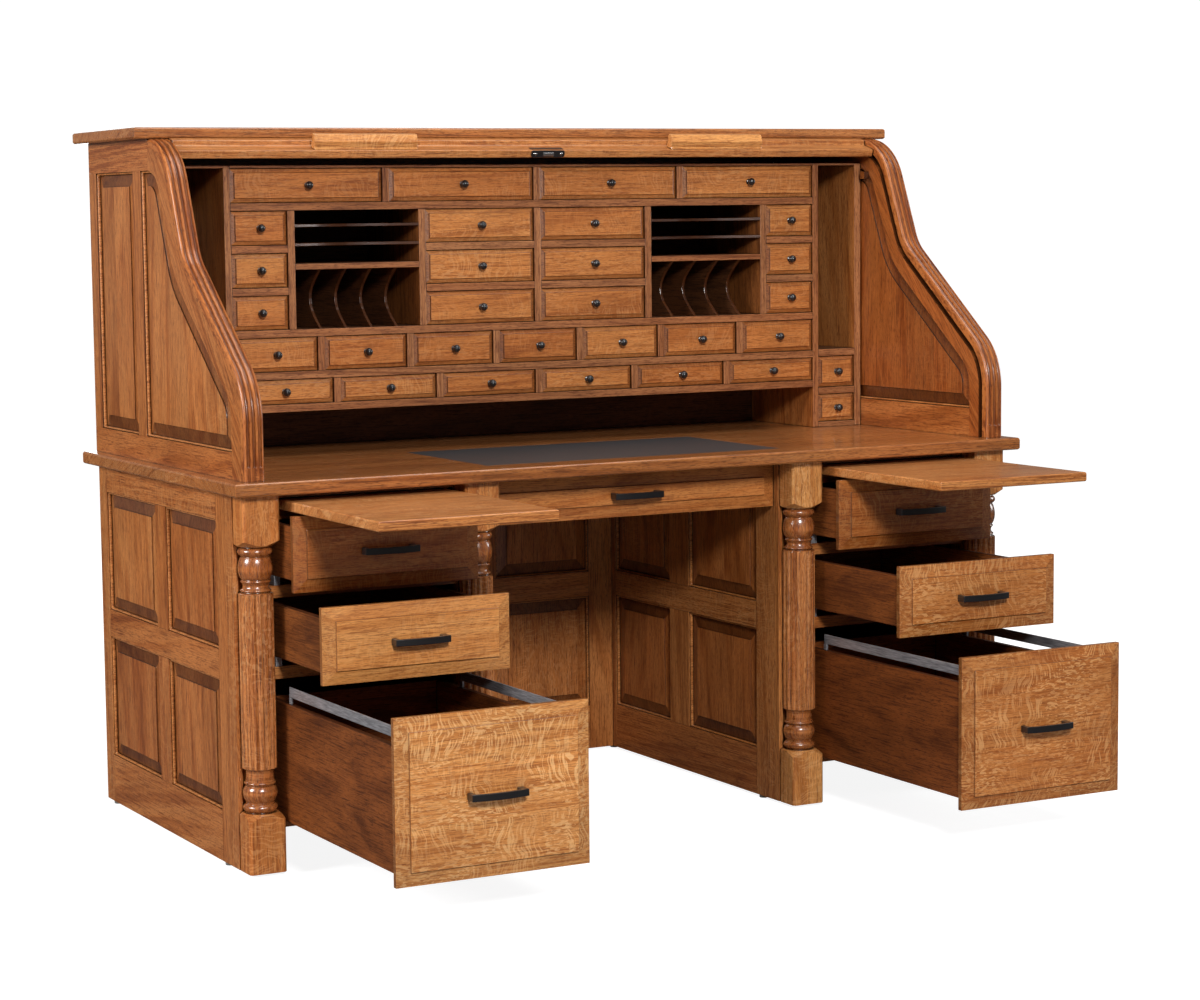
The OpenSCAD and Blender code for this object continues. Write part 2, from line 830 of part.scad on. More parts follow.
// Right hutch end, in its own place
module hutch_end() {
  x0 = inner_x;
  x1 = inner_x + inner_t;
  x2 = hutch_x;
  low = desk_h;
  top = hutch_h;
  s = seam;
  high = top - curve_stile;
  groove_top = top - cap_t;
  groove_low = groove_top - groove_w;
  back = hutch_back;
  outer_edge = x2 - face_in - field_rise;
  inner_edge = x0 + face_in + field_rise;
  color(oak) {
    // Fluted cap
    difference() {
      plate_x([x0, x2], s_strip(0, cap_t, low));
      for (i = [0:cap_flutes - 1])
        let (mid = x0 + (x2 - x0) * (i + 0.5) / cap_flutes)
          plate_x([mid - cap_flute_w / 2, mid + cap_flute_w / 2],
                  concat([[-1, low + flute_stop]], s_curve(-1), reversed(s_curve(cap_flute_w / 2)),
                         [[cap_flute_w / 2, low + flute_stop]]));
    }
    // Outer layer
    plate_x([x1, x2], s_strip(cap_t + s, curve_stile, low));
    board([x1, x2], [curve_top_y + s, back], [high, top]);
    board([x1, x2], [curve_stile + s, back], [low, low + end_bottom]);
    board([x1, x2], [end_mid_y, end_mid_y + end_mid_w], [low + end_bottom + s, high - s]);
    board([x1, x2], [back - end_back_stile, back], [low + end_bottom + s, high - s]);
    translate([x2 - face_in - panel_t, end_mid_y + end_mid_w + s, low + end_bottom + s])
      rotate([0, 0, 90])
        fielded(back - end_back_stile - end_mid_y - end_mid_w - 2 * s, high - low - end_bottom - 2 * s,
                panel_edge, panel_rise, panel_t, bevel_w);
    s_panel([x1 + panel_back, outer_edge], low + end_bottom + s, end_mid_y - s, curve_stile + s);
    s_panel([outer_edge, x2 - face_in], low + end_bottom + field_in, end_mid_y - field_in,
            curve_stile + field_in);
    // Inner layer with the groove
    plate_x([x0, x1 - s], s_strip(cap_t + groove_w, curve_stile, low));
    board([x0, x1 - s], [curve_stile + s, inner_back_y], [low, low + inner_bottom]);
    board([x0, x1 - s], [curve_top_y + s, rear_groove], [high, groove_low]);
    board([x0, x1 - s], [curve_top_y + s, back], [groove_top, top]);
    board([x0, x1 - s], [rear_groove + groove_w, back], [low, groove_top - s]);
    board([x0, x1 - s], [inner_back_y + s, rear_groove], [low, high - s]);
    s_panel([inner_edge, x1 - s - panel_back], low + inner_bottom + s, inner_back_y - s, curve_stile + s);
    s_panel([x0 + face_in, inner_edge], low + inner_bottom + field_in, inner_back_y - field_in,
            curve_stile + field_in);
    // Small stop block in front of the organizer
    board([x0 - stop_w, x0 - s], web(org_y - stop_y, stop_h), web(top - stop_z, stop_h));
  }
}

// Panel that follows the curve at depth d, with its back edge at y1
module s_panel(x, low, y1, d) {
  plate_x(x, concat([[d, low]], s_curve(d), [[y1, hutch_h - d], [y1, low]]));
}

module hutch_right_end() {
  translate([0, y_shift, 0]) hutch_end();
}

module hutch_left_end() {
  translate([0, y_shift, 0]) mirror([1, 0, 0]) hutch_end();
}

module hutch_back() {
  w = 2 * (inner_x - seam);
  color(dark_oak)
    translate([-w / 2, hutch_back - back_t + y_shift, desk_h])
      cube([w, back_t, hutch_h - desk_h - seam]);
}

module hutch_top() {
  color(oak)
    translate([-top_w / 2, lid_front + y_shift, hutch_h])
      eased_slab(top_w, hutch_back + lid_back - lid_front, lid_t, edge_ease);
}

// Tambour: slats lie along X on a canvas; the section is flat inside and rounded outside
slat_z = hutch_h - cap_t - (groove_w + slat_t) / 2;
module slat(length) {
  w = slat_pitch - 2 * seam;
  t = slat_t;
  translate([-length / 2, 0, 0])
    rotate([90, 0, 90])
      linear_extrude(height = length)
        polygon([[seam, 0], [seam + w, 0], [seam + w, t / 2], [seam + 0.8 * w, 0.87 * t],
                 [seam + w / 2, t], [seam + 0.2 * w, 0.87 * t], [seam, t / 2]]);
}

module slat_run(count, length, canvas) {
  color(oak)
    for (i = [0:count - 1])
      translate([0, i * slat_pitch, 0])
        slat(length);
  color(inner_wood)
    board([-canvas / 2, canvas / 2], [seam, count * slat_pitch - seam], [-canvas_t - seam, -seam]);
}

// Widths of the rail, of the slats held in the grooves and of the canvas
groove_end = 2;
canvas_side = 4;
bend_w = 2 * (inner_x - tambour_side);
held_w = 2 * (inner_x + inner_t - groove_end);
canvas_w = 2 * (inner_x - canvas_side);
hinge_y = rail_y + bend_slats * slat_pitch + 2 * seam;
flat_slats = floor((rear_groove - turn_room - hinge_y) / slat_pitch);

module tambour_front_slats() {
  translate([0, rail_y + seam + y_shift, slat_z])
    slat_run(bend_slats, bend_w, canvas_w);
}

module tambour_flat_slats() {
  translate([0, hinge_y + seam + y_shift, slat_z])
    slat_run(flat_slats, held_w, canvas_w);
}

module tambour_rear_slats() {
  rear_y = rear_groove + (groove_w - slat_t) / 2;
  translate([0, rear_y + y_shift, rear_low])
    rotate([90, 0, 0])
      mirror([0, 0, 1])
        slat_run(rear_slats, held_w, canvas_w);
}

// Places a child on the lead rail: y runs down its outer face from the back edge, z out of that face
rail_above = 5;
rail_z = slat_z + rail_above;
module on_rail() {
  translate([0, rail_y + y_shift, rail_z])
    rotate([rail_tilt, 0, 0])
      children();
}

// Lead rail with two finger lifts, and the chamfer of its edges
rail_ease = 3;
module tambour_rail() {
  e = rail_ease;
  color(oak)
    on_rail() {
      translate([-bend_w / 2, 0, 0])
        rotate([90, 0, 90])
          linear_extrude(height = bend_w)
            polygon([[0, 0], [0, rail_t], [-rail_w + e, rail_t], [-rail_w, rail_t - e],
                     [-rail_w, e], [-rail_w + e, 0]]);
      for (side = [-1, 1])
        translate([side * lift_x - lift_w / 2, 0, rail_t + seam])
          rotate([90, 0, 90])
            linear_extrude(height = lift_w)
              polygon([[-rail_w + e, 0], [-rail_w + 24, 0], [-rail_w + 20, lift_out / 2],
                       [-rail_w + 21, lift_out - 2],
                       [-rail_w + 18, lift_out], [-rail_w + 8, lift_out], [-rail_w + 5, lift_out - 3]]);
    }
}

// Lock: face plate and latch on the rail's lower edge, escutcheon on its outer face
module tambour_lock() {
  lock_w = 80;
  plate_t = 2.5;
  color(black_metal)
    on_rail() {
      board([-lock_w / 2, lock_w / 2], [-rail_w - seam - plate_t, -rail_w - seam], [3, rail_t - 2]);
      board([-lock_w / 2, lock_w / 2], [-rail_w + 5, -rail_w + 19], [rail_t + seam, rail_t + seam + 1.5]);
    }
  color(bright_metal)
    on_rail()
      board([-14, 14], [-rail_w - 2 * seam - plate_t - 3, -rail_w - 2 * seam - plate_t], [5, rail_t - 6]);
}

// Organizer
org_half = inner_x - 1;
org_z = hutch_h - org_gap;
tower_x = org_half - outer_wall - tower_w;
cube_x = tower_x - tower_wall;
back_y = org_y + org_d;
row_top = org_z - org_top_t;
row_h = (row_top - desk_h - open_h - low_row_h) / 5 - 1.2 * shelf_t;
step = row_h + shelf_t;
slot_h = 3 * row_h + 2 * shelf_t - thick_t - letter_top_h;
small_box_d = org_d - small_front_t - small_box_gap;
row_z = [row_top - row_h, row_top - row_h - step, row_top - row_h - 2 * step, row_top - row_h - 3 * step,
         row_top - row_h - 4 * step, row_top - row_h - 4 * step - shelf_t - low_row_h];
org_bottom = row_z[5] - shelf_t;
tower_z = [desk_h + tower_floor, desk_h + tower_floor + tower_low_h + shelf_t];

// Openings of a row of n equal compartments, and of the mixed middle rows
function equal_cells(n) = let (w = (2 * cube_x - (n - 1) * shelf_t) / n)
  [for (i = [0:n - 1]) [-cube_x + i * (w + shelf_t), -cube_x + i * (w + shelf_t) + w]];
small_in = cube_x - small_w;
letter_out = small_in - shelf_t;
letter_in = letter_out - letter_w;
centre_out = letter_in - shelf_t;
mixed_cells = [
  [-cube_x, -small_in],
  [-centre_out, -shelf_t / 2],
  [shelf_t / 2, centre_out],
  [small_in, cube_x]
];
row_cells = [equal_cells(4), mixed_cells, mixed_cells, mixed_cells, equal_cells(7), equal_cells(6)];

module organizer_case() {
  y = [org_y, back_y - seam];
  zone = [row_z[3], row_z[1] + row_h];
  color(dark_oak)
    translate([0, y_shift, 0]) {
      for (side = [0, 1])
        mirror([side, 0, 0]) {
          board([org_half - outer_wall, org_half], y, [desk_h, org_z]);
          board([cube_x, tower_x], y, [desk_h, org_z]);
          for (z = [[desk_h, tower_z[0]], web(tower_z[0] + tower_low_h, shelf_t),
                    web(tower_z[1] + row_h, shelf_t), [row_top, org_z]])
            board([tower_x + seam, org_half - outer_wall - seam], y, z);
          board([small_in - shelf_t, small_in], y, [zone[0] + seam, zone[1] - seam]);
          board([centre_out, letter_in], y, [zone[0] + seam, zone[1] - seam]);
          board([letter_in + seam, letter_out - seam], y, web(zone[0] + slot_h, thick_t));
          for (r = [1, 2]) {
            board([small_in + seam, cube_x - seam], y, web(row_z[r] - shelf_t, shelf_t));
            board([shelf_t / 2 + seam, centre_out - seam], y, web(row_z[r] - shelf_t, shelf_t));
          }
        }
      board([-shelf_t / 2, shelf_t / 2], y, [zone[0] + seam, zone[1] - seam]);
      for (z = [[row_top, org_z], web(row_z[0] - shelf_t, shelf_t), web(row_z[3] - shelf_t, shelf_t),
                web(row_z[4] - shelf_t, shelf_t), web(row_z[5] - shelf_t, shelf_t)])
        board([-cube_x + seam, cube_x - seam], y, z);
      partitions(row_cells[0], row_z[0], row_h);
      partitions(row_cells[4], row_z[4], row_h);
      partitions(row_cells[5], row_z[5], low_row_h);
      board([-org_half, org_half], [back_y, back_y + org_back_t], [desk_h, org_z]);
    }
}

module partitions(cells, z, h) {
  for (i = [1:len(cells) - 1])
    board([cells[i - 1][1], cells[i][0]], [org_y, back_y - seam], [z + seam, z + h - seam]);
}

// Outline with a hollow front edge from 0 to w, reaching back to d
function hollow_edge(w, d) = concat(
  [for (i = [0:10]) [w * i / 10, hollow_d * sin(18 * i)]],
  [[w, d], [0, d]]
);

module letter_dividers() {
  depth = back_y - org_y - 2 * seam;
  z0 = row_z[3];
  w = letter_w - 2 * seam;
  pitch = (letter_w + thin_t) / 5;
  color(dark_oak)
    translate([0, y_shift, 0])
      for (x = [-letter_out, letter_in]) {
        for (k = [1, 2])
          translate([x + seam, org_y, z0 + slot_h + thick_t + letter_pitch * k - thin_t / 2])
            linear_extrude(height = thin_t)
              polygon(hollow_edge(w, depth));
        for (k = [1:4])
          translate([x + k * pitch - thin_t, org_y, z0 + seam])
            mirror([1, 0, 0])
              rotate([0, -90, 0])
                linear_extrude(height = thin_t)
                  polygon(hollow_edge(slot_h - 2 * seam, depth));
      }
}

// Small drawer box: how far it is narrower and lower than its front, and its bottom's thickness
box_in = 1;
box_drop = 8;
small_bottom_t = 4;

// Organizer drawer in an opening c wide and h high, with its floor at z
module small_drawer(c, z, h) {
  w = c[1] - c[0] - 2 * reveal;
  fh = h - 2 * reveal;
  translate([(c[0] + c[1]) / 2, org_y + small_front_t + y_shift, z + reveal]) {
    color(oak)
      raised_front(w, fh, small_front_t, small_field);
    color(inner_wood)
      drawer_box(w - 2 * box_in, small_box_d, [0, fh - box_drop], small_side_t, small_bottom_t);
    translate([0, -small_front_t, fh / 2])
      knob();
  }
}

// Drawer i of row r, counted from the left and from the top
module row_drawer(r, i) {
  small_drawer(row_cells[r][i], row_z[r], r == 5 ? low_row_h : row_h);
}

// Tower drawer; side is 0 on the left and 1 on the right, level 0 is the lower one
module tower_drawer(side, level) {
  c = side == 1 ? [tower_x, org_half - outer_wall] : [-org_half + outer_wall, -tower_x];
  small_drawer(c, tower_z[level], level == 0 ? tower_low_h : row_h);
}

desktop();
writing_pad();
left_pedestal();
right_pedestal();
modesty_panel();
turned_posts();
drawer_slides();
left_writing_board();
right_writing_board();
left_top_drawer();
left_middle_drawer();
left_file_drawer();
right_top_drawer();
right_middle_drawer();
right_file_drawer();
centre_drawer();
hutch_left_end();
hutch_right_end();
hutch_back();
hutch_top();
tambour_rail();
tambour_lock();
tambour_front_slats();
tambour_flat_slats();
tambour_rear_slats();
organizer_case();
letter_dividers();
for (r = [0:5])
  for (i = [0:len(row_cells[r]) - 1])
    row_drawer(r, i);
for (side = [0, 1])
  for (level = [0, 1])
    tower_drawer(side, level);
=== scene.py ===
# %% [markdown]
# # A roll-top desk in quarter-sawn oak
#
# The desk stands with its tambour rolled up, its drawers and its two writing boards pulled out.
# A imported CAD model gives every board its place. Most boards keep that shape: they are copied,
# their edges are softened and they are cut from one imaginary oak log, so that each has grain of
# its own. What a lathe, a moulding cutter or a foundry made is modelled here from a primitive.

# %% Open the frame
import bpy
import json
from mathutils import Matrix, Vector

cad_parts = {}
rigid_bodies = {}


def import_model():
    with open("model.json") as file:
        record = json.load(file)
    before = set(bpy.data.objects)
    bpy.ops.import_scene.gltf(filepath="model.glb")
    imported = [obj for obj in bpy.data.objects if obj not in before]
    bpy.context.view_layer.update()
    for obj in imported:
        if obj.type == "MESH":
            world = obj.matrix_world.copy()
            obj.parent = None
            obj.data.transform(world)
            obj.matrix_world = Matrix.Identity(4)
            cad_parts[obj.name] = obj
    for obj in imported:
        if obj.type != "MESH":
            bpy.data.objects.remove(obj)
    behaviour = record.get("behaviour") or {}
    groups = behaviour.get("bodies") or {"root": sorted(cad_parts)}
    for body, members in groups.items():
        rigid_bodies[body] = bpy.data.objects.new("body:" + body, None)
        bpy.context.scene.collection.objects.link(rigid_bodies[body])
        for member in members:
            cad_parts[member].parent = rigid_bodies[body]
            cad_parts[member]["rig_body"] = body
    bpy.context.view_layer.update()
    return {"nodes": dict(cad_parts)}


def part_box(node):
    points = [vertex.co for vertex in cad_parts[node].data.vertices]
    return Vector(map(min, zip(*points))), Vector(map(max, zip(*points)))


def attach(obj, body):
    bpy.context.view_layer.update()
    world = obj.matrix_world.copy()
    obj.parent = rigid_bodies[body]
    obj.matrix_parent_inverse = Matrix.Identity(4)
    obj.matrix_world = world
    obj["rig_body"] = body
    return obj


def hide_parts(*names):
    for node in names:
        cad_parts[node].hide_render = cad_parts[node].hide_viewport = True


for start_up_object in list(bpy.data.objects):
    bpy.data.objects.remove(start_up_object)
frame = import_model()

import json
import math
import random
from functools import partial

import numpy as np
from mathutils import Matrix, Vector

MM = 0.001
NEAR = 0.1 * MM                 # what is closer than this is in the same place
chance = random.Random(11)


def mm(*lengths):
    return [length * MM for length in lengths]


# %% [markdown]
# ## The camera
#
# A photographer stood to the left of the desk with a long lens. The place, the turn and the focal
# length come from fitting the desk's own right angles to the picture. The picture was cropped off
# centre, so the lens is shifted a little instead of the camera being turned.

# %% Place the camera
FRONT = -173.8 * MM             # the posts' front faces lie this far along Y
PHOTO_WIDTH, PHOTO_HEIGHT = 1200, 1000
FOCAL_PIXELS, CENTRE_PIXEL = 2757.4, (505.4, 494.0)
YAW, PITCH, ROLL = (math.radians(a) for a in (27.0, 5.79, 0.77))
STANDPOINT = (-2.79615, -4.83626 + FRONT, 1.25933)

forward = Vector((math.sin(YAW) * math.cos(PITCH), math.cos(YAW) * math.cos(PITCH), -math.sin(PITCH)))
level_right = Vector((math.cos(YAW), -math.sin(YAW), 0))
level_up = -forward.cross(level_right)
right = level_right * math.cos(ROLL) - level_up * math.sin(ROLL)
up = level_right * math.sin(ROLL) + level_up * math.cos(ROLL)

lens = bpy.data.cameras.new("photo_camera")
lens.sensor_width = 36
lens.lens = FOCAL_PIXELS / PHOTO_WIDTH * lens.sensor_width
lens.shift_x = (PHOTO_WIDTH / 2 - CENTRE_PIXEL[0]) / PHOTO_WIDTH
lens.shift_y = -(PHOTO_HEIGHT / 2 - CENTRE_PIXEL[1]) / PHOTO_WIDTH
camera = bpy.data.objects.new("photo_camera", lens)
bpy.context.scene.collection.objects.link(camera)
camera.matrix_world = Matrix.Translation(STANDPOINT) @ Matrix((right, up, -forward)).transposed().to_4x4()
bpy.context.scene.camera = camera
print("lens", round(lens.lens, 2), "mm")

# %% [markdown]
# ## Choosing and editing
#
# Blender's operators act on what is selected. The frame arrives selected, so each step first
# deselects everything and then picks its own object. A new shape starts as a cube between two
# corners, and a modifier is applied at once, so that the next step works on the real mesh.


# %% Helpers for objects and edit mode
def pick(*objects):
    bpy.ops.object.select_all(action="DESELECT")
    for one in objects:
        one.select_set(True)
    bpy.context.view_layer.objects.active = objects[0]


def edit(obj, select="DESELECT"):
    pick(obj)
    bpy.ops.object.mode_set(mode="EDIT")
    bpy.ops.mesh.select_all(action=select)


def done():
    bpy.ops.object.mode_set(mode="OBJECT")


def choose(obj, test, kind="FACE"):
    """Selects the faces or vertices whose centre and normal pass the test, and ends in edit mode."""
    edit(obj)
    bpy.ops.mesh.select_mode(type=kind)
    done()
    for item in obj.data.polygons if kind == "FACE" else obj.data.vertices:
        item.select = bool(test(item.center if kind == "FACE" else item.co, item.normal))
    bpy.ops.object.mode_set(mode="EDIT")


def settle(obj):
    """Moves an object's place, turn and size into its mesh."""
    pick(obj)
    bpy.ops.object.transform_apply(location=True, rotation=True, scale=True)
    return obj


def cube(name, low, high):
    bpy.ops.mesh.primitive_cube_add(size=1, location=[(a + b) / 2 for a, b in zip(low, high)])
    obj = bpy.context.object
    obj.name = name
    obj.scale = [b - a for a, b in zip(low, high)]
    return settle(obj)


def cut_at(obj, place, normal):
    edit(obj, "SELECT")
    bpy.ops.mesh.bisect(plane_co=place, plane_no=normal)
    done()


def grow(move):
    bpy.ops.mesh.extrude_region_move(TRANSFORM_OT_translate={"value": move})


def bevel_edges(obj, axis, longer, offset, segments):
    """Cuts back the edges that run along one axis and are longer than a length."""
    edit(obj)
    bpy.ops.mesh.select_mode(type="EDGE")
    done()
    for line in obj.data.edges:
        a, b = (obj.data.vertices[v].co for v in line.vertices)
        line.select = abs(a[axis] - b[axis]) > longer
    bpy.ops.object.mode_set(mode="EDIT")
    bpy.ops.mesh.bevel(offset=offset, segments=segments)
    done()


def close_normals(obj, merge=0.01 * MM):
    edit(obj, "SELECT")
    bpy.ops.mesh.remove_doubles(threshold=merge)
    bpy.ops.mesh.normals_make_consistent(inside=False)
    done()
    return obj


def modify(obj, kind, **settings):
    """Adds a modifier with its settings and applies it."""
    pick(obj)
    modifier = obj.modifiers.new(kind, kind)
    for name, value in settings.items():
        setattr(modifier, name, value)
    bpy.ops.object.modifier_apply(modifier=modifier.name)
    return obj


def round_edges(obj, width, segments, angle):
    return modify(obj, "BEVEL", width=width, segments=segments, limit_method="ANGLE",
                  angle_limit=math.radians(angle))


def smooth(obj, angle):
    pick(obj)
    bpy.ops.object.shade_smooth_by_angle(angle=math.radians(angle))
    return modify(obj, "WEIGHTED_NORMAL", keep_sharp=True)


def soften(obj, width, segments=2, angle=35):
    """Rounds the sharp edges, then shades so that flat faces stay flat."""
    return smooth(round_edges(obj, width, segments, angle), 10)


def copy_at(source, name, place):
    """A copy with its own mesh, moved inside that mesh."""
    obj = bpy.data.objects.new(name, source.data.copy())
    obj.data.transform(Matrix.Translation(place))
    bpy.context.scene.collection.objects.link(obj)
    return obj


def points_of(obj):
    points = np.empty(len(obj.data.vertices) * 3, np.float32)
    obj.data.vertices.foreach_get("co", points)
    return points.reshape(-1, 3)


def span(obj):
    points = points_of(obj)
    return points.min(0), points.max(0)


def in_mm(obj):
    return [round(float(v) / MM, 1) for corner in span(obj) for v in corner]


# %% [markdown]
# ## One log for every board
#
# Oak looks the way it does because of how the board sat in the log. Growth rings are cylinders
# round the pith and rays are thin radial sheets. A quarter-sawn board is cut along a radius, so its
# face shows straight lines crossed by pale ray flecks. A plain-sawn board is cut across the radius,
# so its face shows broad arches. A rift-sawn board lies between the two and has plain lines on every
# side. Each vertex gets its place inside the log: X along the grain, Y and Z across it, with the pith
# at zero. It also gets the direction of the grain and of the board's face, because stain sinks deeper
# where a cut opens the fibres; where these are zero, no edge counts as cut open. A number called tone
# makes each board darker or lighter, and one called flecks gives the strength of its ray flecks. A
# board wider than a tree allows is glued up, and each of its strips has grain of its own.

# %% Put a board in the log
NONE, ALONG_DESK, ALONG_Y, UPRIGHT = (0, 0, 0), (1, 0, 0), (0, 1, 0), (0, 0, 1)
WIDEST_TREE = 150 * MM
BESIDE_PITH = (0.16, 0.30)      # how far from the pith a board may be cut, in metres
MOULDING_IN_LOG = 0.15
LOG_LENGTH = 40                 # metres of grain, so that no two boards share theirs


def store(obj, name, values):
    """Keeps one number or one direction for each vertex; one alone is given to all."""
    count = len(obj.data.vertices)
    shape = (count, 3) if np.size(values) in (3, 3 * count) else count
    kind, field = ("FLOAT", "value") if shape == count else ("FLOAT_VECTOR", "vector")
    layer = obj.data.attributes.get(name) or obj.data.attributes.new(name, kind, "POINT")
    layer.data.foreach_set(field, np.broadcast_to(values, shape).astype(np.float32).ravel())


def mark(obj, **fields):
    for name, values in fields.items():
        store(obj, name, values)


def cut_from_log(board, grain=None, cut="rift", tone=None, flecks=1.0):
    points = points_of(board)
    low, high = points.min(0), points.max(0)
    size = high - low
    along = np.eye(3)[int(size.argmax())] if grain is None else np.array(grain, float)
    along = along / np.linalg.norm(along)
    thin = np.eye(3)[min((k for k in range(3) if abs(along[k]) < 0.9), key=lambda k: size[k])]
    wide = np.cross(thin, along)
    reach = chance.uniform(*BESIDE_PITH)
    aside = chance.uniform(-0.02, 0.02)
    pith = {"quarter": (reach, aside), "plain": (aside, reach * 0.4), "rift": (reach * 0.7, reach * 0.7)}[cut]
    centred = points - (low + high) / 2
    log = np.stack([centred @ along + chance.uniform(0, LOG_LENGTH), centred @ wide + pith[0],
                    centred @ thin + pith[1]], 1)
    tone = chance.uniform(0.4, 1.0) if tone is None else tone
    mark(board, log=log, grain=along, face=thin, tone=tone, flecks=flecks * chance.uniform(0.6, 1.0),
         glued=float(np.ptp(points @ wide) > WIDEST_TREE))
    return board


# %% [markdown]
# ## Finishes
#
# Colours are written as they look on a screen and turned to linear light by one function. One small
# function adds a node. The kind may be followed by its operation. The sockets are filled in order or,
# from a dict, by name, with a value or with a link from another node, and the output that the next
# node needs comes back. A new material brings this function with it, already tied to its own nodes.


# %% Colour and node helpers
def linear(code):
    parts = [int(code[i:i + 2], 16) / 255 for i in (1, 3, 5)]
    return (*[p / 12.92 if p <= 0.04045 else ((p + 0.055) / 1.055) ** 2.4 for p in parts], 1.0)


def add_node(tree, kind, sockets=(), take=0, **settings):
    kind, *operation = kind.split()
    node = tree.nodes.new("ShaderNode" + kind)
    if operation:
        node.operation = operation[0]
    for name, value in settings.items():
        setattr(node, name, value)
    for name, value in sockets.items() if isinstance(sockets, dict) else enumerate(sockets):
        if isinstance(value, bpy.types.NodeSocket):
            tree.links.new(value, node.inputs[name])
        else:
            node.inputs[name].default_value = value
    return node.outputs[take] if len(node.outputs) else node


def new_material(name):
    material = bpy.data.materials.new(name)
    material.use_nodes = True
    material.node_tree.nodes.clear()
    return material, partial(add_node, material.node_tree)


# %% [markdown]
# ### Lacquered oak
#
# The real finish is a wiped brown stain under a satin lacquer. Stain sinks into the open pores and
# the early wood, which go dark, and hardly colours the hard ray flecks, which stay pale. A bevel that
# is cut across the grain shows open fibre ends and goes darkest. Corners are darkened by ambient
# occlusion: painted shade, together with the stain that gathers there.
# The finest real pores are 0.3 mm wide. Here they are wider, so that they show from some metres.
#
# The four colours of a finish are those of the early wood, the wood, the late wood and the flecks.
# Each layer of noise is stretched by a vector of repeats per metre, worked out from real sizes.

# %% Sizes of the pattern
FIBRES = mm(70, 2.6)                    # length and spacing of the dark lines along the grain
RINGS = mm(700, 5.5)                    # length and spacing of the growth rings
PORES = mm(13, 1.3)                     # length and width of a pore
ACROSS_FLECK = mm(3.6, 30)              # a fleck that crosses the grain: along it and across it
ALONG_FLECK = mm(12, 3.8)               # a fleck where the ray is cut at a slant
STRIP = 105 * MM                        # width of the strips in a glued-up board
NEXT_STRIP = 3.7                        # metres of log between one strip and the next
TAPER = 0.028                           # how much a trunk narrows along its length
STEEPEST = 0.16                         # a bevel's slope across the grain, as a sine, where stain is full
# The reach of the ambient occlusion that darkens corners: painted shade, with the stain there
CORNER_SHADE_AND_STAIN_REACH = 4 * MM                         # how far stain gathers round a corner
LACQUER_IOR, LACQUER_GLOSS = 1.5, 0.14


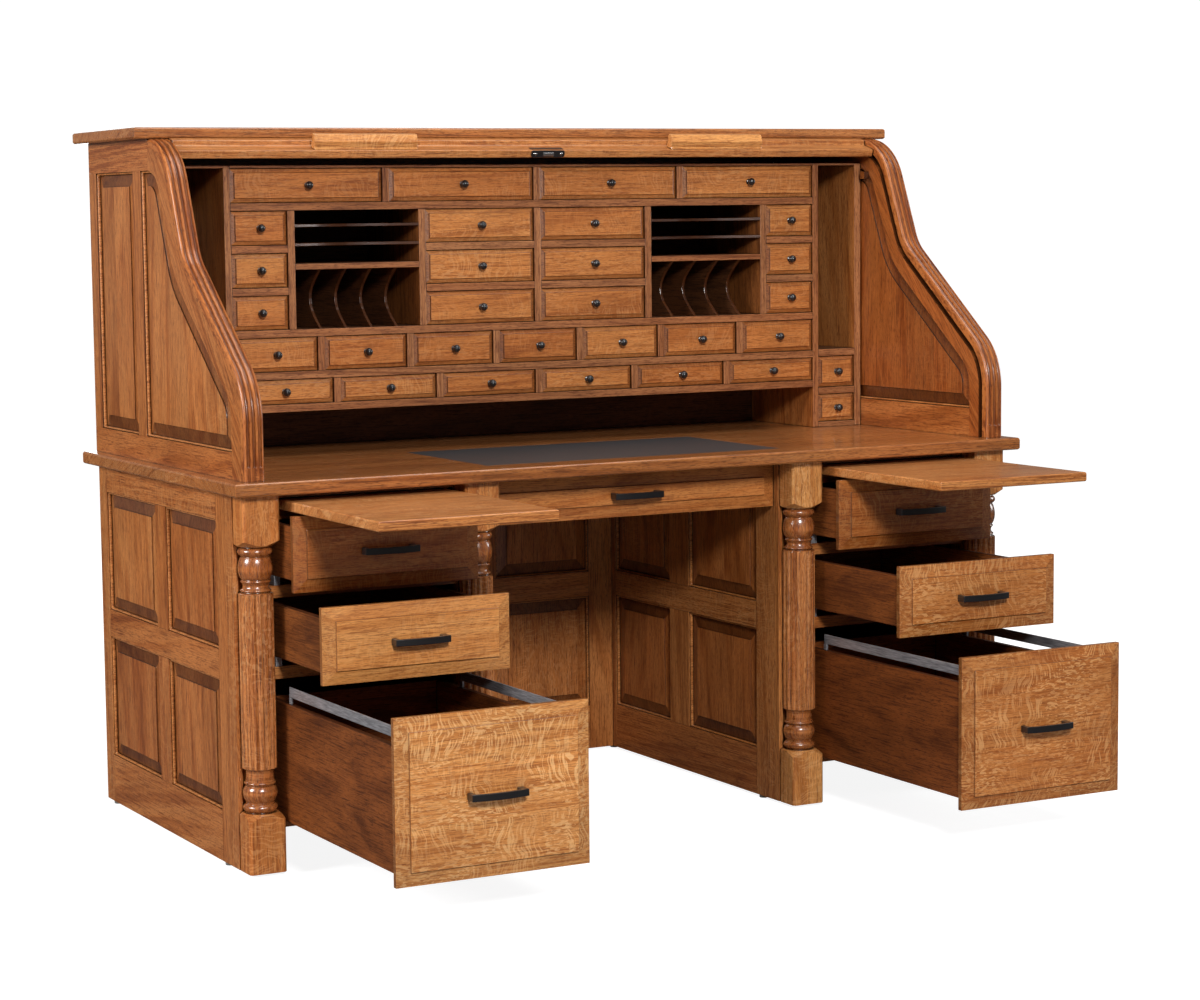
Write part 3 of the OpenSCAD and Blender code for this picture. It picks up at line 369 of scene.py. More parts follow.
# %% Oak
def oak(name, dark, middle, light, fleck, fleck_share, gloss=0.34, coat=0.30, end_stain=0.74,
        bevel_stain=0.18, specular=0.5):
    material, add = new_material(name)
    dark, middle, light, fleck = (linear(code) for code in (dark, middle, light, fleck))
    place, grain, face = (add("Attribute", (), "Vector", attribute_name=n) for n in ("log", "grain", "face"))
    tone, flecks, glued = (add("Attribute", (), "Fac", attribute_name=n) for n in ("tone", "flecks", "glued"))

    # A glued-up board changes to another strip of wood every 10 cm or so
    width = add("SeparateXYZ", (place,), "Y")
    count = add("Math DIVIDE", (width, STRIP))
    count = add("Math FLOOR", (count,))
    strip = add("Math MULTIPLY", (count, glued))
    differs = add("TexWhiteNoise", {"Vector": add("CombineXYZ", (strip, tone))}, "Value")
    moved = add("CombineXYZ", (add("Math MULTIPLY", (strip, NEXT_STRIP)),))
    log = add("VectorMath ADD", (place, moved))

    # The trunk isn't straight: the grain wanders by some millimetres
    wander = add("VectorMath MULTIPLY", (log, (3, 9, 9)))
    wander = add("TexNoise", {"Vector": wander, "Scale": 1, "Roughness": 0.55}, "Color")
    bent = add("VectorMath MULTIPLY_ADD", (wander, (0, 10 * MM, 10 * MM), log))

    # Distance from the pith and angle round it; the trunk tapers, which draws arches
    along, radial, aside = add("SeparateXYZ", (bent,)).node.outputs
    leaning = add("Math MULTIPLY_ADD", (along, TAPER, aside))
    to_ring = add("CombineXYZ", {1: radial, 2: leaning})
    to_point = add("CombineXYZ", {1: radial, 2: aside})
    ring = add("VectorMath LENGTH", (to_ring,), "Value")
    reach = add("VectorMath LENGTH", (to_point,), "Value")
    arc = add("Math MULTIPLY", (add("Math ARCTAN2", (aside, radial)), 0.2))
    rings_at = add("CombineXYZ", (along, ring, arc))
    rays_at = add("CombineXYZ", (along, reach, arc))

    # Noise at each layer's own size: rings draw arches, fibres fine lines, pores short dark dashes;
    # a swirl bends the rays, which cross the grain in some places and lie along it in others
    noises = {}
    for layer, spot, repeats, detail, roughness, output in (
            ("rings", rings_at, (1 / RINGS[0], 1 / RINGS[1], 5), 2, 0.6, "Fac"),
            ("lines", bent, (1 / FIBRES[0], 1 / FIBRES[1], 1 / FIBRES[1]), 3, 0.65, "Fac"),
            ("pores", bent, (1 / PORES[0], 1 / PORES[1], 1 / PORES[1]), 1, 0.55, "Fac"),
            ("swirl", rays_at, (8, 10, 6), 2, 0.55, "Color"), ("which", rays_at, (6, 11, 5), 1, 0.55, "Fac"),
            ("shown", rays_at, (7, 15, 5), 1, 0.55, "Fac"), ("blotch", log, (6, 17, 17), 3, 0.55, "Fac")):
        stretched = add("VectorMath MULTIPLY", (spot, repeats))
        noises[layer] = add("TexNoise", {
            "Vector": stretched, "Scale": 1, "Detail": detail, "Roughness": roughness}, output)
    rays = []
    for bend, (length, across), distortion in (((85 * MM, 10 * MM, 0), ACROSS_FLECK, 0.3),
                                               ((20 * MM, 30 * MM, 0), ALONG_FLECK, 0.6)):
        swept = add("VectorMath MULTIPLY_ADD", (noises["swirl"], bend, rays_at))
        swept = add("VectorMath MULTIPLY", (swept, (1 / length, 1 / across, 60)))
        rays.append(add("TexNoise", {"Vector": swept, "Scale": 1, "Detail": 1, "Roughness": 0.5,
                                     "Distortion": distortion}))

    # The strength of each layer: where its noise lies between two levels, and how much it may be
    share = {}
    for layer, noise, *levels in (
            ("late", "rings", 0.38, 0.62), ("early", "rings", 0.44, 0.30, 0, 0.5),
            ("dark line", "lines", 0.49, 0.33, 0, 0.9), ("light line", "lines", 0.53, 0.70, 0, 0.5),
            ("pore", "pores", 0.54, 0.66, 0, 0.7), ("which", "which", 0.47, 0.55),
            ("shown", "shown", 0.34, 0.58, 0.25, 1),
            ("rough", "lines", 0.3, 0.7, gloss + 0.07, gloss - 0.05)):
        share[layer] = add("MapRange", (noises[noise], *levels))

    # Ray flecks show only where the face follows a ray
    chosen = add("Mix", {"Factor": share["which"], 2: rays[0], 3: rays[1]})
    chosen = add("MapRange", (chosen, 0.51, 0.58))
    facing = add("Math DIVIDE", (radial, reach))
    facing = add("MapRange", (facing, 0.80, 0.97))
    for factor in (share["shown"], facing, flecks, fleck_share):
        chosen = add("Math MULTIPLY", (chosen, factor))
    share["fleck"] = chosen

    wood = middle
    for layer, colour in (("late", light), ("early", dark), ("dark line", dark), ("light line", light),
                          ("pore", dark), ("fleck", fleck)):
        wood = add("Mix", {"Factor": share[layer], 6: wood, 7: colour}, 2, data_type="RGBA")

    # Stain on bevels, most where they cross the grain
    normal = add("NewGeometry", (), "True Normal")
    across = add("VectorMath DOT_PRODUCT", (normal, grain), "Value")
    across = add("Math ABSOLUTE", (across,))
    tilt = add("VectorMath CROSS_PRODUCT", (normal, face))
    tilt = add("VectorMath LENGTH", (tilt,), "Value")
    cut_stain = add("MapRange", (across, 0.04, STEEPEST, 1, 1 - end_stain))
    for levels in ((0.05, 0.11, 1, 1 - bevel_stain), (0.5, 0.9, 1, 0.5)):
        bevel = add("MapRange", (tilt, *levels))
        cut_stain = add("Math MULTIPLY", (cut_stain, bevel))

    # Painted shade and stain in corners (ambient occlusion), blotches, and each board's tone
    # Ambient occlusion darkens corners and creases: painted shade, with the stain that gathers there
    corner = add("AmbientOcclusion", {"Distance": CORNER_SHADE_AND_STAIN_REACH}, "AO", samples=6)
    corner = add("MapRange", (corner, 0.35, 0.90, 0.15, 1))
    uneven = add("Math SUBTRACT", (differs, 0.5))
    uneven = add("Math MULTIPLY", (uneven, glued))
    value = add("Math MULTIPLY_ADD", (noises["blotch"], 0.5, 0.62))
    value = add("Math MULTIPLY_ADD", (tone, 0.26, value))
    value = add("Math MULTIPLY_ADD", (uneven, 0.24, value))
    for factor in (corner, cut_stain):
        value = add("Math MULTIPLY", (value, factor))
    redness = add("Math MULTIPLY", (tone, cut_stain))
    redness = add("Mix", {"Factor": redness, 6: (0.96, 0.74, 0.62, 1), 7: (1, 1.05, 1.20, 1)}, 2,
                  data_type="RGBA")
    redder = add("VectorMath MULTIPLY", (wood, redness))
    stained = add("VectorMath SCALE", {0: redder, "Scale": value})

    # Grain stays open under the lacquer
    relief = add("Math MULTIPLY_ADD", (share["pore"], -0.9, noises["lines"]))
    bump = add("Bump", {"Height": relief, "Strength": 0.20, "Distance": 0.4 * MM})
    shader = add("BsdfPrincipled", {
        "Base Color": stained, "Roughness": share["rough"], "Normal": bump, "Coat Weight": coat,
        "Coat Roughness": LACQUER_GLOSS, "IOR": LACQUER_IOR, "Specular IOR Level": specular})
    add("OutputMaterial", (shader,))
    return material


# %% [markdown]
# ### Eight finishes of one wood
#
# The case, the turnings and the drawer fronts are wiped with the same stain, but the fronts are
# chosen wood with more flecks, and the turnings are sprayed with a full gloss. The boxes are plainer
# wood with a darker stain and hardly any lacquer. The inside of the organizer is the same plain wood,
# painted darker still as the shade in its bays.

# %% Mix the finishes
case_oak = oak("oak_case_stained_satin", "#6b3413", "#a8622a", "#bd7a3f", "#d09a60", 0.50,
               end_stain=0.62, bevel_stain=0.10)
turned_oak = oak("oak_turned_gloss", "#5d2c10", "#a9612e", "#bf7a41", "#cf975f", 0.50,
                 gloss=0.24, coat=1, end_stain=0.25)
front_oak = oak("oak_drawer_front_satin", "#8a4a1c", "#bd7535", "#cd8b49", "#e6b272", 0.58,
                coat=0.2, end_stain=0.12, bevel_stain=0.08)
small_front_oak = oak("oak_small_front_satin", "#7c4018", "#b06930", "#be793c", "#cc935a", 0.28,
                      coat=0.2, end_stain=0.32, bevel_stain=0.14)
frame_oak = oak("oak_organizer_frame_dark", "#5c2e16", "#966037", "#ab7346", "#ba855a", 0.3, gloss=0.36)
top_oak = oak("oak_desktop_satin", "#5c2e11", "#985626", "#ad6c37", "#c18a56", 0.45, gloss=0.28, coat=0.6)
box_oak = oak("oak_drawer_box_dark_stain", "#3f1d0a", "#703e18", "#8a5023", "#b0783f", 0.6,
              gloss=0.50, coat=0, specular=0.25)
inside_shade_oak = oak("oak_organizer_inside_dark", "#2a170c", "#523119", "#623d22", "#75502f", 0.3,
                 gloss=0.55, coat=0, specular=0.2)
print("nodes in a finish:", len(case_oak.node_tree.nodes))

# %% [markdown]
# ### Metal, pad and canvas
#
# Pulls and knobs are zinc castings with a black powder coat, which leaves a faint orange-peel
# surface. The file rails and slides are zinc-plated steel strip, with drawing marks along their
# length. The pad is dark grey leathercloth with a fine pebble. The slats are glued to cotton duck.


# %% Powder coat, steel, leathercloth, nickel, nylon and duck
def surface(name, colour, second, spread, roughness, stretch=(1, 1, 1), metallic=0, bump=0.1, depth=0.1 * MM,
            coat=0):
    """A finish whose colour varies between two tones over a distance, with a matching relief."""
    material, add = new_material(name)
    spot = add("TexCoord", (), "Object")
    spot = add("VectorMath MULTIPLY", (spot, [1 / (spread * s) for s in stretch]))
    noise = add("TexNoise", {"Vector": spot, "Scale": 1, "Detail": 4, "Roughness": 0.6})
    share = add("MapRange", (noise, 0.35, 0.65))
    tint = add("Mix", {"Factor": share, 6: linear(colour), 7: linear(second)}, 2, data_type="RGBA")
    relief = add("Bump", {"Height": noise, "Strength": bump, "Distance": depth})
    rough = add("MapRange", (noise, 0, 1, roughness - 0.06, roughness + 0.06))
    shader = add("BsdfPrincipled", {"Base Color": tint, "Roughness": rough, "Normal": relief,
                                    "Metallic": metallic, "Coat Weight": coat})
    add("OutputMaterial", (shader,))
    return material


powder_black = surface("zinc_black_powder_coat", "#121113", "#1d1b1d", 0.8 * MM, 0.36, bump=0.15, coat=0.6)
plated_steel = surface("steel_strip_zinc_plated", "#8b8b90", "#c4c4c8", 2.2 * MM, 0.42, (1, 14, 1), 0.7)
nickel = surface("steel_nickel_plated", "#b4b4b6", "#cfcfd0", 2 * MM, 0.24, metallic=1, bump=0.03)
leathercloth = surface("leathercloth_dark_grey", "#2e2f31", "#37383a", 1.4 * MM, 0.50, bump=0.35,
                       depth=0.2 * MM)
nylon = surface("nylon_grey", "#77746f", "#8a8781", 3 * MM, 0.5)
duck = surface("cotton_duck_brown", "#3b2a1c", "#54402c", 0.9 * MM, 0.9, bump=0.4)

# %% [markdown]
# ## Boards from the frame
#
# The flat boards are right as they are in the CAD model: their places, bevels and raised fields.
# A machined edge is never razor sharp, though, and catches a thin line of light. Each node's mesh is
# copied, its loose triangles are merged and its flat faces joined. Then the copy is separated into
# its boards, so that each can be cut from its own place in the log, and its edges are rounded.


# %% Copy a node and take it apart
FLAT = math.radians(0.4)        # faces that meet at less than this are one


def boards_of(node):
    mesh = frame["nodes"][node].data.copy()
    mesh.materials.clear()
    whole = bpy.data.objects.new(node + "_boards", mesh)
    bpy.context.scene.collection.objects.link(whole)
    edit(whole, "SELECT")
    bpy.ops.mesh.customdata_custom_splitnormals_clear()
    bpy.ops.mesh.remove_doubles(threshold=0.02 * MM)
    bpy.ops.mesh.dissolve_limited(angle_limit=FLAT)
    bpy.ops.mesh.separate(type="LOOSE")
    done()
    return list(bpy.context.selected_objects)


def join(parts, name, edge=0.9 * MM):
    pick(*parts)
    if len(parts) > 1:
        bpy.ops.object.join()
    piece = bpy.context.view_layer.objects.active
    piece.name = name
    return soften(piece, edge) if edge else piece


def paint(obj, material):
    obj.data.materials.clear()
    obj.data.materials.append(material)
    return obj


made = []


def body_of_node(node):
    return frame["nodes"][node]["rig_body"]


def finish_piece(piece, node, replace=True):
    """Rides a piece on its node's body and, if asked, stands it in for the node."""
    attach(piece, body_of_node(node))
    if replace:
        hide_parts(node)
    made.append(piece)
    return piece


# %% [markdown]
# ## Bar pulls
#
# A pull is one casting: a flat bar that bows forward, carried on a leg at each end. A cube is cut into
# columns along its length, the legs are extruded from the back faces at the ends, and the columns of
# the bar are moved forward by a parabola.

# %% Model a bar pull
PULL_LENGTH, PULL_HEIGHT, PULL_BAR = mm(114, 13, 7)
PULL_OUT, PULL_BOW, PULL_LEG = mm(28, 7, 10)


def make_pull():
    end, front = PULL_LENGTH / 2, -(PULL_OUT - PULL_BOW)
    pull = cube("pull_pattern", (-end, front, -PULL_HEIGHT / 2), (end, front + PULL_BAR, PULL_HEIGHT / 2))
    for column in range(1, 11):
        cut_at(pull, (column * PULL_LEG - end, 0, 0), (1, 0, 0))
    choose(pull, lambda c, n: n.y > 0.9 and abs(c.x) > end - PULL_LEG)
    grow((0, -(front + PULL_BAR), 0))
    done()
    for vertex in pull.data.vertices:
        if vertex.co.y < -0.5 * MM:
            vertex.co.y -= PULL_BOW * (1 - (vertex.co.x / end) ** 2)
    return paint(soften(close_normals(pull), 1.1 * MM, 3, 40), powder_black)


pull_pattern = make_pull()
print("pull:", in_mm(pull_pattern))

# %% [markdown]
# ## Knobs
#
# A small drawer has a mushroom knob. Like the real one it is a turned shape, so it starts as a
# circle that is extruded and scaled ring by ring along its axis, and its end is closed to a point.


# %% Turn a shape from a list of radii
def turn_shape(name, profile, sides):
    """profile holds (height, radius) pairs from the bottom up."""
    height, radius = profile[0]
    bpy.ops.mesh.primitive_circle_add(vertices=sides, radius=radius, location=(0, 0, height),
                                      fill_type="NGON")
    shape = settle(bpy.context.object)
    shape.name = name
    edit(shape, "SELECT")
    for next_height, next_radius in profile[1:]:
        grow((0, 0, next_height - height))
        ratio = next_radius / radius
        bpy.ops.transform.resize(value=(ratio, ratio, 1), center_override=(0, 0, next_height))
        height, radius = next_height, next_radius
    done()
    return close_normals(shape, 0.001 * MM)


def bulge(start, end, edge, middle, steps, peak=0.5):
    """Rings between two heights: edge radius at both ends, middle radius at the peak."""
    rings = []
    for k in range(steps + 1):
        t = k / steps
        s = t / peak / 2 if t < peak else 0.5 + (t - peak) / (1 - peak) / 2
        rings.append((start + (end - start) * t, edge + (middle - edge) * math.sin(math.pi * s) ** 0.75))
    return rings


# %% Model a knob
KNOB_RADIUS, KNOB_OUT, KNOB_HEAD = mm(8.6, 20, 10)
STEM = [(0, 6.4 * MM), (1.6 * MM, 6.4 * MM), (2.6 * MM, 4.6 * MM), (8.5 * MM, 3.9 * MM)]
head = [(KNOB_OUT - KNOB_HEAD * math.cos(a), KNOB_RADIUS * math.sin(a))
        for a in (math.radians(d) for d in (78, 90, 105, 122, 140, 158, 172))]
head = [(KNOB_HEAD + (h - head[0][0]) * 0.93, r) for h, r in head]
knob_pattern = turn_shape("knob_pattern", STEM + head, 20)
knob_pattern.data.transform(Matrix.Rotation(math.radians(90), 4, "X"))
knob_pattern.data.transform(Matrix.Diagonal((1, KNOB_OUT / -span(knob_pattern)[0][1], 1, 1)))
paint(smooth(knob_pattern, 50), powder_black)
print("knob:", in_mm(knob_pattern))

# %% [markdown]
# ## Drawers
#
# A drawer is a front with a raised field and a mitred bevel, screwed to a box of plain boards. The
# fronts are the best wood of the desk: quarter-sawn, with long flecks, and lighter than the frame.
# The boxes are plain-sawn and stained dark. The file drawers carry a steel rail on each side.
# A shaper cutter runs round a front: it leaves a thin edge, a slope and a small step up to the field.
# A cube's front face is inset and pushed forward once for the slope and once for the step.


# %% Model a raised front
def make_front(name, low, high, bevel, slope, step):
    """low and high are its corners, the field at low Y."""
    front = cube(name, low, high)
    choose(front, lambda c, n: n.y < -0.9)
    bpy.ops.transform.translate(value=(0, slope + step, 0))
    bpy.ops.mesh.inset(thickness=bevel, depth=slope)
    bpy.ops.mesh.inset(thickness=0.4 * MM, depth=step)
    done()
    return close_normals(front)


# %% Dress a drawer
# Each front's tone. The top fronts are set dark as a painted shadow of the writing boards above them, and the
# right fronts darker than the left as painted shade.
FRONT_TONES_WITH_PAINTED_SHADE = {"left_top_drawer": -0.3, "left_middle_drawer": 1.4, "left_file_drawer": 1.2,
         "right_top_drawer": -0.6, "right_middle_drawer": 0.45, "right_file_drawer": 0.4,
         "centre_drawer": 0.4}
FLECKED = {"left_top_drawer": 0.6, "left_middle_drawer": 0.25, "centre_drawer": 0.15}
BASE_FIELD = mm(26, 5, 4)                   # width of the bevel, its slope and the step
SMALL_FIELD = mm(9, 3, 2.4)
STEEL = 5.5 * MM                            # the file rails are thinner than this, and no board is
LONGEST_RAIL = 0.5


def dress_drawer(node, handle, handle_out, tone, field, finish):
    """Models the front, cuts the box's boards and sets the handle on the front's field."""
    low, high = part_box(node)
    face = low.y + handle_out
    wood = []
    for board in boards_of(node):
        a, b = span(board)
        size = b - a
        if a[1] < face + 1 * MM:
            bpy.data.objects.remove(board)
            board = make_front(node + "_front", (a[0], face, a[2]), b, *field)
            cut_from_log(board, ALONG_DESK, "quarter", tone, FLECKED.get(node, 1.3))
            paint(board, finish)
        elif size[0] < STEEL and max(size) < LONGEST_RAIL:
            paint(cut_from_log(board), plated_steel)
        else:
            paint(cut_from_log(board, None, "plain", chance.uniform(0.2, 0.7), 0.4), box_oak)
        wood.append(board)
    finish_piece(join(wood, node + "_wood"), node)
    middle = Vector(((low.x + high.x) / 2, face, (low.z + high.z) / 2))
    finish_piece(copy_at(handle, f"{node}_{handle.name.split('_')[0]}", middle), node, replace=False)


# %% Base drawers and small drawers
for node, tone in FRONT_TONES_WITH_PAINTED_SHADE.items():
    dress_drawer(node, pull_pattern, PULL_OUT, tone, BASE_FIELD, front_oak)
small_drawers = [node for node in frame["nodes"] if "organizer_drawer" in node or "tower_drawer" in node]
for node in small_drawers:
    dress_drawer(node, knob_pattern, KNOB_OUT, chance.uniform(0.6, 1.1), SMALL_FIELD, small_front_oak)
print("base drawers:", len(FRONT_TONES_WITH_PAINTED_SHADE), "small drawers:", len(small_drawers))

# %% [markdown]
# ## Pedestals and modesty panel
#
# Each side of a pedestal is a frame of stiles and rails round four raised panels. Stiles and rails
# are cut along their length. A panel's grain stands upright, and since panels are glued up from
# whatever wood is wide enough, some are quarter-sawn and some plain-sawn.
#
# A moulding plane cuts a small round, the bead, along each inner edge of the frame. It could be cut
# into every stile and rail, but a ring in the corner between frame and panel gives the same line: a
# copy of the panel keeps only its hidden face, which is inset, opened and extruded.

# %% Beads round the panels
PANEL_THICKNESS, PANEL_EDGE, SMALLEST_PANEL = mm(15, 8, 150)
BEAD_WIDTH, BEAD_HEIGHT, BEAD_ROUND = mm(4.5, 7.6, 2.6)
INTO_FRAME = 0.7 * MM           # the ring reaches a hair into the frame, so that no light shows between


def hidden_side(board):
    """Thin axis of a raised panel, place of its hidden face and the sign that leads to the field."""
    low, high = span(board)
    axis = int((high - low).argmin())
    area = [sum(p.area for p in board.data.polygons if abs(p.center[axis] - end[axis]) < NEAR)
            for end in (low, high)]
    return (axis, low[axis], 1) if area[0] > area[1] else (axis, high[axis], -1)


def keep_hidden_face(board, axis, hidden):
    for kind in ("FACE", "VERT"):
        choose(board, lambda c, n: abs(c[axis] - hidden) > NEAR, kind)
        bpy.ops.mesh.delete(type=kind)
        done()
    edit(board, "SELECT")
    bpy.ops.mesh.dissolve_limited(angle_limit=FLAT)
    bpy.ops.mesh.select_mode(type="FACE")
    bpy.ops.mesh.select_all(action="SELECT")


def make_bead(board):
    axis, hidden, sign = hidden_side(board)
    step = Vector([sign if k == axis else 0 for k in range(3)])
    above = PANEL_EDGE + NEAR
    bead = copy_at(board, board.name + "_bead", step * above)
    keep_hidden_face(bead, axis, hidden + sign * above)
    bpy.ops.mesh.inset(thickness=0.1 * MM)
    bpy.ops.mesh.select_all(action="INVERT")
    bpy.ops.mesh.delete(type="FACE")
    bpy.ops.mesh.select_all(action="SELECT")
    bpy.ops.mesh.inset(thickness=BEAD_WIDTH)
    bpy.ops.mesh.delete(type="FACE")
    bpy.ops.mesh.select_all(action="SELECT")
    grow(step * BEAD_HEIGHT)
    done()
    round_edges(close_normals(bead), BEAD_ROUND, 3, 60)
    low, high = (Vector(corner) for corner in span(bead))
    larger = [1 if k == axis else 1 + INTO_FRAME / (high - low)[k] for k in range(3)]
    centre = (low + high) / 2
    bead.data.transform(Matrix.Translation(centre) @ Matrix.Diagonal((*larger, 1))
                        @ Matrix.Translation(-centre))
    # The bead is given a lighter tone than the frame: a painted highlight along the panel edges.
    mark(bead, log=points_of(bead) + MOULDING_IN_LOG, grain=NONE, face=NONE, tone=1.2, flecks=0)
    return paint(bead, case_oak)


# %% Frame-and-panel pieces
GLIDE_HEIGHT = 8 * MM


def is_panel(size):
    return abs(sorted(size)[0] - PANEL_THICKNESS) < 0.6 * MM and sorted(size)[1] > SMALLEST_PANEL


def dress_frame(node, inside=lambda a, b: False, edge=0.9 * MM, shelves=False, finish=case_oak):
    """Where shelves is true, flat boards run across the desk and upright ones up and down."""
    wood = []
    for board in boards_of(node):
        a, b = span(board)
        if b[2] < GLIDE_HEIGHT:
            paint(cut_from_log(board), nylon)
        elif inside(a, b):
            paint(cut_from_log(board, None, "plain", 0.3, 0.4), box_oak)
        elif not shelves and is_panel(b - a):
            cut_from_log(board, UPRIGHT, chance.choice(("quarter", "rift", "plain")), None, 0.8)
            wood.append(make_bead(board))
            paint(board, case_oak)
        else:
            grain = None
            if shelves:
                grain = UPRIGHT if (b - a).argmin() == 0 else ALONG_DESK
            cut = chance.choice(("quarter", "rift", "rift"))
            mark(cut_from_log(board, grain, cut, None, 0 if shelves else 0.8), face=NONE)
            paint(board, finish)
        wood.append(board)
    return finish_piece(join(wood, node + "_wood", edge), node)


# %% Walls, organizer case and back
PEDESTAL_OUTER, PEDESTAL_INNER, WALL = mm(889, 343, 20)
BEHIND_POSTS = 79 * MM + FRONT
BACK_BOARD = 8 * MM             # the organizer's back is thinner than this
TOWER = 130 * MM


def behind_walls(a, b):
    """True for boards that touch neither outside face of a pedestal and lie behind its front."""
    outer = max(abs(a[0]), abs(b[0])) > PEDESTAL_OUTER - WALL / 2
    inner = min(abs(a[0]), abs(b[0])) < PEDESTAL_INNER + WALL / 2
    return not outer and not inner and a[1] > BEHIND_POSTS


def paint_inside_shade_and_light(piece, behind=8 * MM):
    """Paints light and shade on what lies behind the front edge: painted shade inside, and the walls that
    face -X, towards the lamps, painted lighter, most in the towers.
    """
    dark = len(piece.data.materials)
    for material in (inside_shade_oak, box_oak, case_oak):
        piece.data.materials.append(material)
    low, high = span(piece)
    outer = max(abs(low[0]), abs(high[0]))
    for face in piece.data.polygons:
        x, y, z = face.center
        seen_outside = abs(x) > outer - 1 * MM or face.normal.z > 0.9 and z > high[2] - 1 * MM
        # Painted shade behind the front; faces towards -X, where the lamps stand, get a lighter finish
        if y > low[1] + behind and not seen_outside:
            in_tower = abs(x) > outer - TOWER
            face.material_index = dark + (face.normal.x < -0.9) * (1 + in_tower)


for side in ("left", "right"):
    dress_frame(side + "_pedestal", behind_walls)
dress_frame("modesty_panel")
paint_inside_shade_and_light(dress_frame("organizer_case", lambda a, b: (b - a)[1] < BACK_BOARD, 0.7 * MM, True, frame_oak))
dress_frame("hutch_back")
print("pieces so far:", len(made))

# %% [markdown]
# ## Desktop, top board and writing boards
#
# These are wide glued-up slabs with eased edges. Their grain runs along the width of the desk. The
# desktop and the top board have a darker, glossier finish than the two writing boards. The pad is
# let into the desktop, and the slides are strips of steel on the walls of the pedestals.

# %% Slabs, pad and slides
for node, material, edge, tone in (
        ("desktop", top_oak, 1.2 * MM, 1.1), ("hutch_top", top_oak, 1.2 * MM, 0.95),
        ("left_writing_board", case_oak, 1.0 * MM, 1.1), ("right_writing_board", case_oak, 1.0 * MM, 1.05)):
    wood = boards_of(node)
    for board in wood:
        mark(cut_from_log(board, ALONG_DESK, "quarter", tone, 0.9), grain=NONE, face=NONE)
        paint(board, material)
    finish_piece(join(wood, node + "_slab", edge), node)

for node, name, material, slot in (("writing_pad", "writing_pad_leathercloth", leathercloth, "pad"),
                                   ("drawer_slides", "drawer_slide_strips", plated_steel, "slides")):
    finish_piece(paint(cut_from_log(join(boards_of(node), name, 0.6 * MM)), material), node)

# %% [markdown]
# ## Turned posts
#
# A post is one square length of oak. The lathe leaves square blocks at the foot and the head, whose
# corners it cuts back where the turning starts. Between them are a ring, a vase and a neck at each
# end of a reeded shaft. The turning is made ring by ring, from the list that a turner would follow.
# The blocks are cubes intersected with a turned cone, which gives the curved shoulders that a lathe
# gives. The grooves of the shaft are cut by scaling every sixth line of vertices towards the axis,
# and its neighbours a little less. The turned ends are a shade darker than the shaft between them.

# %% Turn the middle of a post
POST, POST_DEPTH, TURN = mm(76, 57, 34)
SHAFT_LOW, SHAFT_HIGH = mm(207, 547)
REEDS, LINES_PER_REED = 16, 6
GROOVE = mm(3.2, 2.2)           # depth in a groove's middle and beside it
# In mm: height and radius, or a bulge's start, end, edge radius, middle radius, steps and peak
TURNERS_LIST = [
    (117, 27), (123, 139, 28, 33.8, 8), (142, 174, 27.5, 33.5, 16, 0.58), (176, 182, 28, 31, 6),
    (185, 28), (191, 27), (199, 27), (204, 28), (205.5, 29), (207, 32.5), (208, 34), (210, 34),
    (543, 34), (545.5, 33.5), (547, 31.5), (548, 28.5), (549, 554.5, 28, 30.5, 6),
    (556, 26.5), (559, 25.2), (562, 25.2), (565, 26.5), (566.5, 572, 27.5, 29.5, 6), (573, 27),
    (574, 616, 28.5, 33.5, 16, 0.45), (617, 27.5), (618.5, 634.5, 28.5, 33.8, 8), (641, 27)]


def make_turning():
    rings = [ring for row in TURNERS_LIST for ring in (bulge(*row) if len(row) > 2 else [row])]
    turning = turn_shape("post_turning", [(h * MM, r * MM) for h, r in rings], REEDS * LINES_PER_REED)
    line = 2 * math.pi / (REEDS * LINES_PER_REED)

    def on_line(distance):
        def test(spot, normal):
            step = round(math.atan2(spot.y, spot.x) / line) % LINES_PER_REED
            inside = SHAFT_LOW - 0.5 * MM < spot.z < SHAFT_HIGH - 2 * MM
            return inside and min(step, LINES_PER_REED - step) == distance and spot.xy.length > TURN / 2
        return test

    for distance, depth in enumerate(GROOVE):
        choose(turning, on_line(distance), "VERT")
        ratio = (TURN - depth) / TURN
        bpy.ops.transform.resize(value=(ratio, ratio, 1), center_override=(0, 0, SHAFT_LOW))
        done()
    return smooth(turning, 38)


# %% Cut the blocks
FOOT_LOW, FOOT_HIGH, HEAD_LOW, HEAD_HIGH = mm(6, 121, 637, 736)
CHAMFER, SHOULDER_DROP = mm(5, 16)


def make_block(name, low, high, shoulder_down):
    """A square block whose end facing the turning is cut back to a cone."""
    block = cube(name, (-POST / 2, -POST / 2, low), (POST / 2, POST_DEPTH - POST / 2, high))
    bevel_edges(block, 2, 10 * MM, CHAMFER, 1)
    soften(block, 0.8 * MM)
    narrow, wide = POST / 2 - 4 * MM, POST * 0.75
    if shoulder_down:
        cone = [(low, narrow), (low + SHOULDER_DROP, wide), (high + SHOULDER_DROP, wide)]
    else:
        cone = [(low - SHOULDER_DROP, wide), (high - SHOULDER_DROP, wide), (high, narrow)]
    cutter = turn_shape("lathe_cone", cone, 96)
    modify(block, "BOOLEAN", operation="INTERSECT", object=cutter)
    bpy.data.objects.remove(cutter)
    return smooth(block, 25)


